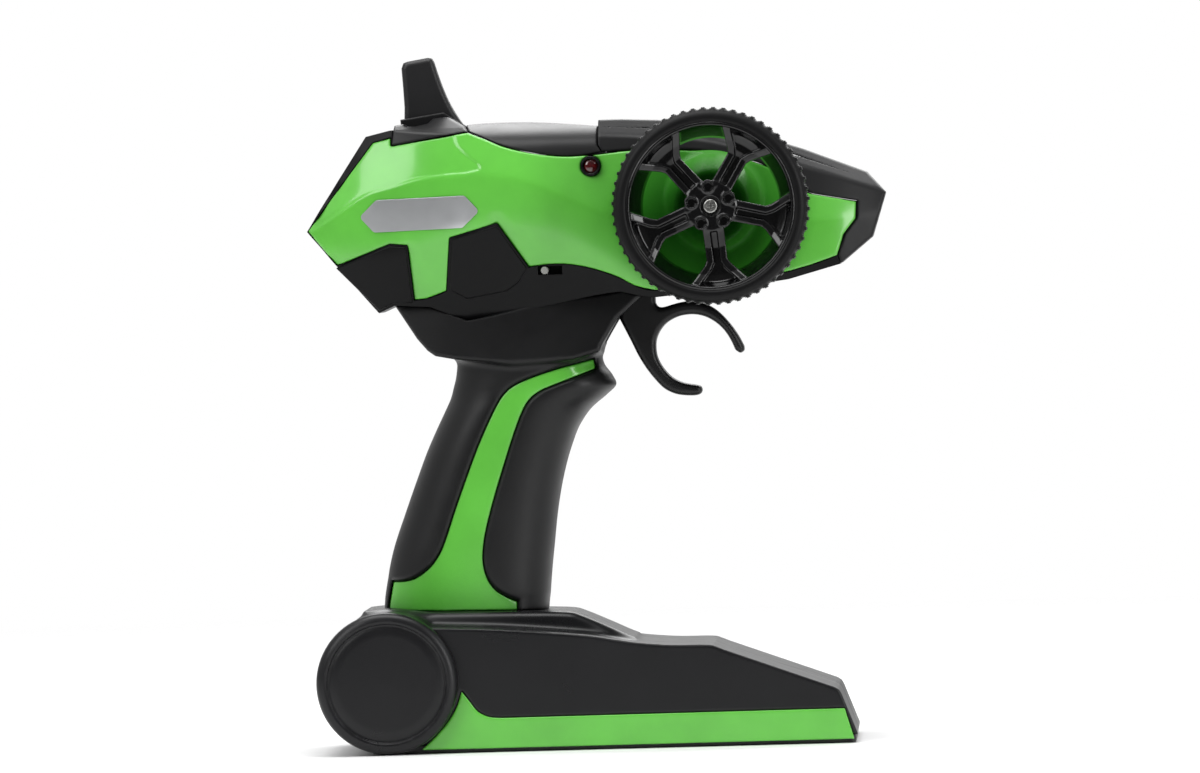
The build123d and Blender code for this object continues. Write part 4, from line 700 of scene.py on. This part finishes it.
DOME = curve([(-31.5, 179.3), (-26.5, 179.7), (-17.5, 179.8), (-8.5, 179.4), (6.6, 178.0)], 4) + [(6.6, 172.3)] \
    + curve([(7.8, 170.3), (3.2, 169.6), (-3.4, 169.5), (-10, 170.3), (-15.9, 171.5), (-20.7, 173.0), (-24.9, 174.9), (-30.2, 177.1)], 4)
FAIRING = [(-52.3, 173.85), (-51.6, 179.6), (-49.1, 180.0), (-48.2, 179.3), (-45.5, 179.2), (-42.1, 180.0), (-40.7, 181.4), (-37.2, 181.7), (-36.0, 181.5), (-31.7, 178.9), (-30.5, 177.15)]
PANEL = [(-77.2, 149.9), (-69.0, 139.9), (-53.4, 145.7), (-48.3, 145.2), (-47.2, 129.4), (-43.6, 129.8), (-37.8, 131.8), (-36.2, 147.0), (-22.5, 150.8)] \
    + curve([(-13.9, 137.9), (-9.7, 138.5), (-3.6, 138.6), (2.3, 137.6), (8.3, 135.8), (12.4, 134.1), (16.9, 131.7), (22.4, 130.4)], 3) \
    + curve([(22.4, 130.4), (40.9, 131.9), (61.0, 134.9), (74.4, 138.9)], 3)[1:] + [(76.4, 144.9), (80.0, 149.4), (80.3, 154.2)] \
    + curve([(67.5, 156.6), (63.2, 158.6), (56.8, 163.7), (51.7, 166.1), (45.0, 167.9), (39.6, 169.3), (31.7, 170.1), (22.0, 170.6), (13.4, 170.3),
             (3.2, 169.4), (-3.4, 169.3), (-10.0, 170.1), (-15.9, 171.3), (-20.8, 172.8), (-25.0, 174.7), (-30.3, 176.9)], 3) \
    + [(-52.5, 173.6), (-52.5, 176.1), (-57.7, 174.8), (-72.2, 156.3)]
FACET = curve([(-35.5, 178.5), (-34.0, 175.6), (-33.4, 173.6), (-31.0, 170.9), (-27.3, 167.8), (-27.0, 166.2)], 4) \
    + curve([(-31.0, 165.4), (-37.7, 165.0), (-45.2, 164.0), (-52.7, 162.0), (-60.2, 159.9), (-70.0, 153.6), (-78.5, 148.6)], 4) + [(-80.0, 182.0), (-35.5, 182.0)]
FIN = [(-49.5, 179.3), (-49.3, 185.0), (-49.55, 190.5), (-49.9, 196.2), (-49.3, 197.7), (-47.9, 198.2), (-42.2, 199.1), (-41.1, 198.9), (-40.5, 197.8)] \
    + curve([(-40.5, 197.8), (-39.5, 194.4), (-38.2, 190.5), (-36.6, 186.5), (-34.7, 182.9), (-32.4, 179.3)], 4)[1:]
SCREWS_HEAD = [(-61.0, 138.5), (-26.0, 139.5), (-62.0, 165.0), (-20.0, 164.0), (56.0, 141.0)]
LED_X, LED_Z, SWITCH_X, TRIM_X, TRIM_Y = 4.7, 166.4, 17.5, 38.5, 8.0


def head_skin(X, Z):
    c = hermite(X, CREASE)
    h = hermite(X, HALF) - 0.34 * soft(Z - c, 1.0) - 0.07 * soft(c - Z, 1.0)
    return h - 0.42 * soft(hermite(X, CREASE2) - Z, 2.2)


def panel_field(sign):
    def f(X, Y, Z):
        x2, z2 = np.broadcast_arrays(X, Z)
        bare = head_skin(X, Z)
        step = np.clip(0.5 - sd_poly(x2, z2, FACET) / 1.1, 0, 1)
        skin = bare - 0.30 * step * step * (3 - 2 * step)
        for seg in ([(-22.5, 150.8), (-13.9, 137.9)], [(-48.0, 143.0), (-47.2, 129.4)]):
            t = np.clip(1 - sd_line(x2, z2, seg, 0.0) / 4.0, 0, 1)
            skin = skin - 0.75 * t * t
        d = both(sd_poly(x2, z2, PANEL) + 0.02, np.abs(Y) - skin, 0.4)
        d = np.maximum(d, bare - 1.7 - np.abs(Y))
        if sign < 0:
            wy = 27.0
            r = np.sqrt((X - WX) ** 2 + (Z - WZ) ** 2)
            rad = 13.6 - 3.4 * (np.abs(Y) - (wy - 2.4)) / (32.6 - wy + 2.4)
            boss = both(r - rad, np.abs(Y) - 32.55, 1.5)
            boss = np.maximum(boss, bare - 1.7 - np.abs(Y))
            d = smin(d, boss, 1.6)
            d = smax(d, 5.15 - r, 0.5)
            d = smax(d, 2.9 - np.sqrt((X - LED_X) ** 2 + (Z - LED_Z) ** 2), 0.3)
        else:
            for sx, sz in SCREWS_HEAD:
                d = smax(d, 3.2 - np.sqrt((X - sx) ** 2 + (Z - sz) ** 2), 0.25)
        return np.maximum(d, 6.0 - sign * Y)
    return f


def head_hollow(X, Y, Z, x2, z2):
    return np.maximum(sd_poly(x2, z2, HEAD) + 2.4, np.abs(Y) - (head_skin(X, Z) - 3.8))


def cowl_field(X, Y, Z):
    x2, z2 = np.broadcast_arrays(X, Z)
    zl = hermite(X, COWL_LINE)
    side = head_skin(X, Z) - 0.35
    lean = head_skin(X, zl) - 0.35 - 1.7 * (Z - zl)
    w = smin(side, lean, 1.2)
    d = both(sd_poly(x2, z2, COWL), (np.abs(Y) - w) / (1 + 0.9 * np.clip((Z - zl + 0.5) / 3, 0, 1)), 0.45)
    d = np.maximum(d, -head_hollow(X, Y, Z, x2, z2))
    slot = np.maximum(np.maximum(np.abs(X - SWITCH_X) - 4.0, np.abs(Y) - 2.0), 170 - Z)
    seat = np.maximum(np.maximum(np.abs(X - SWITCH_X) - 6.0, np.abs(Y) - 3.6), 178.6 - Z)
    d = smax(d, -np.minimum(slot, seat), 0.25)
    for sy in (-1, 1):
        d = smax(d, np.minimum(5.4 - np.sqrt((X - TRIM_X) ** 2 + (Y - sy * TRIM_Y) ** 2), Z - 165), 0.3)
    for k in range(3):
        d = smax(d, -np.maximum(np.maximum(83.0 - X, np.abs(Y) - 7.5), np.abs(Z - 148.4 - 3.2 * k) - 0.8), 0.2)
    return d


def dome_field(X, Y, Z):
    x2, z2 = np.broadcast_arrays(X, Z)
    t = np.maximum(0, Z - 169.5)
    w = head_skin(X, Z) - 0.35 - 0.0019 * t ** 4
    slope = np.sqrt(1 + (0.34 + 0.0076 * t ** 3) ** 2)
    d = both(sd_poly(x2, z2, DOME), (np.abs(Y) - w) / slope, 0.4)
    return np.maximum(d, -np.maximum(sd_poly(x2, z2, HEAD) + 2.4, (np.abs(Y) - (w - 2.3)) / slope))


def fairing_field(X, Y, Z):
    x2, z2 = np.broadcast_arrays(X, Z)
    y2, zz = np.broadcast_arrays(Y, Z)
    saddle = sd_poly(y2, zz, [(-30, 170), (-30, 174.5), (-21.0, 178.4), (-13.0, 181.2), (-11.0, 182.5), (11.0, 182.5), (13.0, 181.2), (21.0, 178.4), (30, 174.5), (30, 170)])
    d = both(both(sd_poly(x2, z2, FAIRING), np.abs(Y) - head_skin(X, Z), 0.35), saddle, 0.5)
    d = np.maximum(d, -head_hollow(X, Y, Z, x2, z2))
    d = smax(d, -np.maximum(np.maximum(np.abs(X + 40.3) - 10.3, np.abs(Y) - 5.6), 178.0 - Z), 0.3)
    return smax(d, 1.3 - np.sqrt((X + 42.0) ** 2 + Y ** 2) + 0 * Z, 0.1)


def collar_field(X, Y, Z):
    x2, z2 = np.broadcast_arrays(X, Z)
    d = both(sd_poly(x2, z2, [(-50.2, 178.1), (-50.5, 181.4), (-38.0, 183.2), (-33.6, 180.2), (-32.6, 178.7), (-32.9, 178.1)]), np.abs(Y) - 5.4, 0.45)
    d = smax(d, -np.maximum(np.maximum(-49.9 - X, np.abs(Y) - 3.95), 179.2 - Z), 0.2)
    return smax(d, 1.3 - np.sqrt((X + 42.0) ** 2 + Y ** 2) + 0 * Z, 0.1)


def fin_field(X, Y, Z):
    x2, z2 = np.broadcast_arrays(X, Z)
    d = both(sd_poly(x2, z2, FIN), np.abs(Y) - (3.8 - 0.035 * np.clip(Z - 183, 0, 20)), 1.5)
    return smax(d, np.minimum(1.1 - np.sqrt((X + 42.0) ** 2 + Y ** 2), 194 - Z), 0.1)


GILLS = {"rear": [(-69.4, 139.2), (-53.5, 145.1), (-48.9, 144.6), (-47.7, 128.6), (-53.0, 128.6), (-57.4, 126.6)],
         "mid": [(-36.9, 132.0), (-35.6, 146.6), (-22.7, 150.1), (-14.4, 137.6), (-17.0, 133.6), (-20.4, 131.2), (-32.0, 129.3)]}


def gill_field(pts, sign):
    def f(X, Y, Z):
        x2, z2 = np.broadcast_arrays(X, Z)
        skin = head_skin(X, Z)
        d = both(sd_poly(x2, z2, pts), np.abs(Y) - skin - 0.42, 0.35)
        return np.maximum(d, skin - 0.5 - sign * Y)
    return f


def build_head():
    h = 0.32
    for sign, side in ((-1, "right"), (1, "left")):
        y0, y1 = (-33.4, -5.0) if sign < 0 else (5.0, 30.4)
        v, q = nets(panel_field(sign), (-78.6, y0, 128.6), (81.6, y1, 178.6), h)
        mesh_obj(f"side_panel_{side}_visual", v, q, M["green"], "housing", [f"side_panel_{side}"])
    for part, pts in GILLS.items():
        xs, zs = [p[0] for p in pts], [p[1] for p in pts]
        for sign, side in ((-1, "right"), (1, "left")):
            y0, y1 = (-31.5, -16.0) if sign < 0 else (16.0, 31.5)
            v, q = nets(gill_field(pts, sign), (min(xs) - 1, y0, min(zs) - 1), (max(xs) + 1, y1, max(zs) + 1), h * 0.8)
            mesh_obj(f"head_facet_{part}_{side}", v, q, M["vent"], "housing")
    v, q = nets(cowl_field, (5.8, -29.5, 135.6), (89.8, 29.5, 180.6), h)
    mesh_obj("front_cowl_visual", v, q, M["satin"], "housing", ["front_cowl"])
    v, q = nets(dome_field, (-32.6, -29.5, 168.4), (8.8, 29.5, 180.8), h * 0.8)
    mesh_obj("top_cover_visual", v, q, M["satin"], "housing", ["top_cover"])
    v, q = nets(fairing_field, (-53.6, -25.5, 172.6), (-29.4, 25.5, 182.9), h * 0.8)
    mesh_obj("antenna_fairing_visual", v, q, M["satin"], "housing", ["antenna_fairing"])
    v, q = nets(collar_field, (-51.6, -6.4, 177.2), (-31.6, 6.4, 184.2), 0.22)
    mesh_obj("antenna_collar_visual", v, q, M["satin"], "housing", ["antenna_collar"])
    v, q = nets(fin_field, (-51.0, -4.8, 178.4), (-31.2, 4.8, 200.0), 0.25)
    mesh_obj("antenna_fin_visual", v, q, M["fin"], "housing", ["antenna_fin"])


# ------------------------------------------------------------------------- base
BASE = [(-57.2, 36.4), (-41.0, 35.6)] + curve([(-41.0, 35.6), (-24.8, 34.8), (-1.9, 32.7), (7.8, 31.1), (14.4, 30.0), (24.0, 29.1), (34.5, 28.9), (37.0, 28.3), (39.2, 27.4)], 4)[1:] \
    + [(70.4, 15.9), (71.7, 15.1), (72.4, 13.9), (79.96, -6.0), (-57.2, -6.0)]
BAND = [(-48.0, 0.9)] + curve([(-44.2, 4.3), (-40.4, 8.5), (-37.6, 13.0), (-36.1, 17.4)], 4) + curve([(-36.1, 17.4), (-33.7, 14.2), (-31.6, 11.5), (-28.5, 9.9), (-24.8, 9.5)], 4)[1:] \
    + [(73.2, 9.7), (75.75, 0.9)]
DISC_X, DISC_Z, DISC_R, BASE_HALF = -57.2, 20.25, 20.2, 34.0


def base_field(sign):
    def f(X, Y, Z):
        x2, z2 = np.broadcast_arrays(X, Z)
        side = np.abs(Y) - BASE_HALF
        flat = sd_poly(x2, z2, BASE)
        cut = both(flat, side, 0.55)
        disc = both(np.sqrt((X - DISC_X) ** 2 + (Z - DISC_Z) ** 2) - DISC_R + 0.25, side, 0.5)
        plat = both(sd_poly(x2, z2, PLATFORM), np.abs(Y) - 21.0, 2.6)
        d = smin(smin(cut, disc, 0.4), plat, 3.2)
        inner = np.maximum(np.minimum(flat, np.sqrt((X - DISC_X) ** 2 + (Z - DISC_Z) ** 2) - DISC_R) + 2.4, np.abs(Y) - (BASE_HALF - 3.6))
        inner2 = np.maximum(sd_poly(x2, z2, PLATFORM) + 2.4, np.abs(Y) - 18.6)
        d = np.maximum(d, -np.minimum(inner, inner2))
        floor = np.maximum(np.maximum(np.abs(X - 7.0) - 66.0, np.abs(Y) - (BASE_HALF - 3.6)), Z - 6.0)
        d = np.maximum(d, -floor)
        d = np.maximum(d, -np.maximum(np.maximum(np.abs(X + 32.5) - 15.5, np.abs(Y) - 12.0), 30 - Z))
        band = np.minimum(sd_poly(x2, z2, BAND) - 0.14, np.maximum(np.maximum(-48.1 - X, X - 76.2), Z - 2.4))
        d = smax(d, -np.maximum(band, (BASE_HALF - 1.6) - np.abs(Y)), 0.12)
        d = np.maximum(d, 2.08 - Z)
        for sx in (-54.0, 62.0):
            post = np.maximum(np.sqrt((X - sx) ** 2 + (np.abs(Y) - 22.0) ** 2) - 3.2, Z - 14.0)
            post = np.maximum(np.maximum(post, 2.08 - Z), 1.3 - np.sqrt((X - sx) ** 2 + (np.abs(Y) - 22.0) ** 2))
            d = np.minimum(d, post)
        d = smax(d, 4.1 - np.sqrt((X - DISC_X) ** 2 + (Z - DISC_Z) ** 2) + 0 * Y, 0.1)
        return both(d, sign * -Y + 0.03, 0.2)
    return f


def band_field(sign):
    def f(X, Y, Z):
        x2, z2 = np.broadcast_arrays(X, Z)
        d = both(sd_poly(x2, z2, BAND), np.abs(Y) - (BASE_HALF + 0.1), 0.35)
        return np.maximum(d, (BASE_HALF - 1.45) - sign * Y)
    return f


def build_base():
    h = 0.38
    for sign, side in ((-1, "right"), (1, "left")):
        y0, y1 = (-35.2, 0.7) if sign < 0 else (-0.7, 35.2)
        v, q = nets(base_field(sign), (-78.6, y0, 1.2), (78.4, y1, 42.4), h)
        mesh_obj(f"base_shell_{side}_visual", v, q, M["base"], "housing", [f"base_shell_{side}"])
        y0, y1 = (-35.0, -31.6) if sign < 0 else (31.6, 35.0)
        v, q = nets(band_field(sign), (-49.2, y0, 0.0), (77.0, y1, 18.6), 0.25)
        mesh_obj(f"base_trim_{side}_visual", v, q, M["green_base"], "housing", [f"base_trim_{side}"])


# ------------------------------------------------------------ detailed pieces
WHEEL = build_rim()
TYRE = build_tyre()
TRIGGER = build_trigger()
build_grip()
build_head()
build_base()


# ---------------------------------------------------------------------- stage
def stage():
    bpy.ops.mesh.primitive_circle_add(vertices=96, radius=1.6, fill_type="NGON", location=(0, 0, -0.0003))
    floor = bpy.context.object
    floor.name = "floor"
    m = Net("floor_paper")
    col = m.mix(m.ramp(m.noise(60, 5), 0.3, 0.7), (0.86, 0.86, 0.86, 1), (0.90, 0.90, 0.90, 1))
    p = m.bsdf(Base_Color=col, Roughness=0.75, Normal=m.bump(m.noise(700, 4), 0.05, 0.05))
    tc = m.n("ShaderNodeTexCoord")
    ln = m.n("ShaderNodeVectorMath", operation="LENGTH")
    m.link(tc.outputs["Object"], ln.inputs[0])
    back = m.n("ShaderNodeNewGeometry")
    fade = m.math("MAXIMUM", m.ramp(ln.outputs["Value"], 0.25, 1.1), back.outputs["Backfacing"])
    tr = m.n("ShaderNodeBsdfTransparent")
    mx = m.n("ShaderNodeMixShader")
    m.link(fade, mx.inputs[0])
    m.link(p.outputs["BSDF"], mx.inputs[1])
    m.link(tr.outputs["BSDF"], mx.inputs[2])
    m.link(mx.outputs[0], m.out.inputs["Surface"])
    floor.data.materials.append(m.mat)


stage()

w = bpy.data.worlds.new("studio")
bpy.context.scene.world = w
w.use_nodes = True
t = w.node_tree
t.nodes.clear()
wo = t.nodes.new("ShaderNodeOutputWorld")
lp = t.nodes.new("ShaderNodeLightPath")
bg_cam = t.nodes.new("ShaderNodeBackground")
bg_cam.inputs[0].default_value = (1, 1, 1, 1)
bg_cam.inputs[1].default_value = 1.0
bg = t.nodes.new("ShaderNodeBackground")
tc = t.nodes.new("ShaderNodeTexCoord")
sep = t.nodes.new("ShaderNodeSeparateXYZ")
mr = t.nodes.new("ShaderNodeMapRange")
mr.inputs["From Min"].default_value = -0.3
mr.inputs["From Max"].default_value = 1.0
mr.inputs["To Min"].default_value = 0.40
mr.inputs["To Max"].default_value = 0.90
t.links.new(tc.outputs["Generated"], sep.inputs[0])
t.links.new(sep.outputs["Z"], mr.inputs["Value"])
front = t.nodes.new("ShaderNodeMapRange")
front.interpolation_type = "SMOOTHSTEP"
front.inputs["From Min"].default_value = -0.92
front.inputs["From Max"].default_value = -0.25
front.inputs["To Min"].default_value = 0.14
front.inputs["To Max"].default_value = 1.0
t.links.new(sep.outputs["Y"], front.inputs["Value"])
mul = t.nodes.new("ShaderNodeMath")
mul.operation = "MULTIPLY"
t.links.new(mr.outputs["Result"], mul.inputs[0])
t.links.new(front.outputs["Result"], mul.inputs[1])
t.links.new(mul.outputs[0], bg.inputs[1])
bg.inputs[0].default_value = (1, 1, 1, 1)
mixw = t.nodes.new("ShaderNodeMixShader")
t.links.new(lp.outputs["Is Camera Ray"], mixw.inputs[0])
t.links.new(bg.outputs[0], mixw.inputs[1])
t.links.new(bg_cam.outputs[0], mixw.inputs[2])
t.links.new(mixw.outputs[0], wo.inputs[0])


def area(name, loc, target, size, size_y, power, rgb=(1, 1, 1)):
    d = bpy.data.lights.new(name, "AREA")
    d.shape = "RECTANGLE"
    d.size, d.size_y, d.energy, d.color = size, size_y, power, rgb
    o = bpy.data.objects.new(name, d)
    bpy.context.scene.collection.objects.link(o)
    o.location = loc
    o.rotation_euler = (Vector(target) - Vector(loc)).to_track_quat("-Z", "Y").to_euler()
    return o


area("key_top", (-0.10, -0.15, 0.95), (0, 0, 0.10), 0.7, 0.6, 6.0)
area("key_left", (-0.75, -0.85, 0.75), (0, 0, 0.12), 0.5, 0.7, 4.7)
area("fill_right", (0.9, -0.8, 0.35), (0, 0, 0.12), 0.3, 0.9, 5.0)
area("back_rim", (0.2, 0.9, 0.7), (0, 0, 0.12), 0.9, 0.5, 4.8)

# --------------------------------------------------------------------- camera
AZ, EL, ROLL, DIST = math.radians(2.0), math.radians(0.8), math.radians(1.614), 3.0
target = Vector((5.8 * MM, -30 * MM, 103.3 * MM))
view_dir = Vector((math.sin(AZ) * math.cos(EL), -math.cos(AZ) * math.cos(EL), math.sin(EL)))
cam_data = bpy.data.cameras.new("camera")
cam = bpy.data.objects.new("camera", cam_data)
bpy.context.scene.collection.objects.link(cam)
back = view_dir.normalized()
up_hint = Vector((math.sin(ROLL), 0, math.cos(ROLL)))
right = up_hint.cross(back).normalized()
up = back.cross(right).normalized()
cam.matrix_world = Matrix(((right.x, up.x, back.x, target.x + back.x * DIST), (right.y, up.y, back.y, target.y + back.y * DIST),
                           (right.z, up.z, back.z, target.z + back.z * DIST), (0, 0, 0, 1)))
cam_data.sensor_width = 36.0
cam_data.lens = 36.0 * DIST / 0.3429
cam_data.clip_start = 0.1
cam_data.clip_end = 20.0
bpy.context.scene.camera = cam
bpy.context.scene.view_settings.view_transform = "Standard"
bpy.context.scene.view_settings.look = "None"
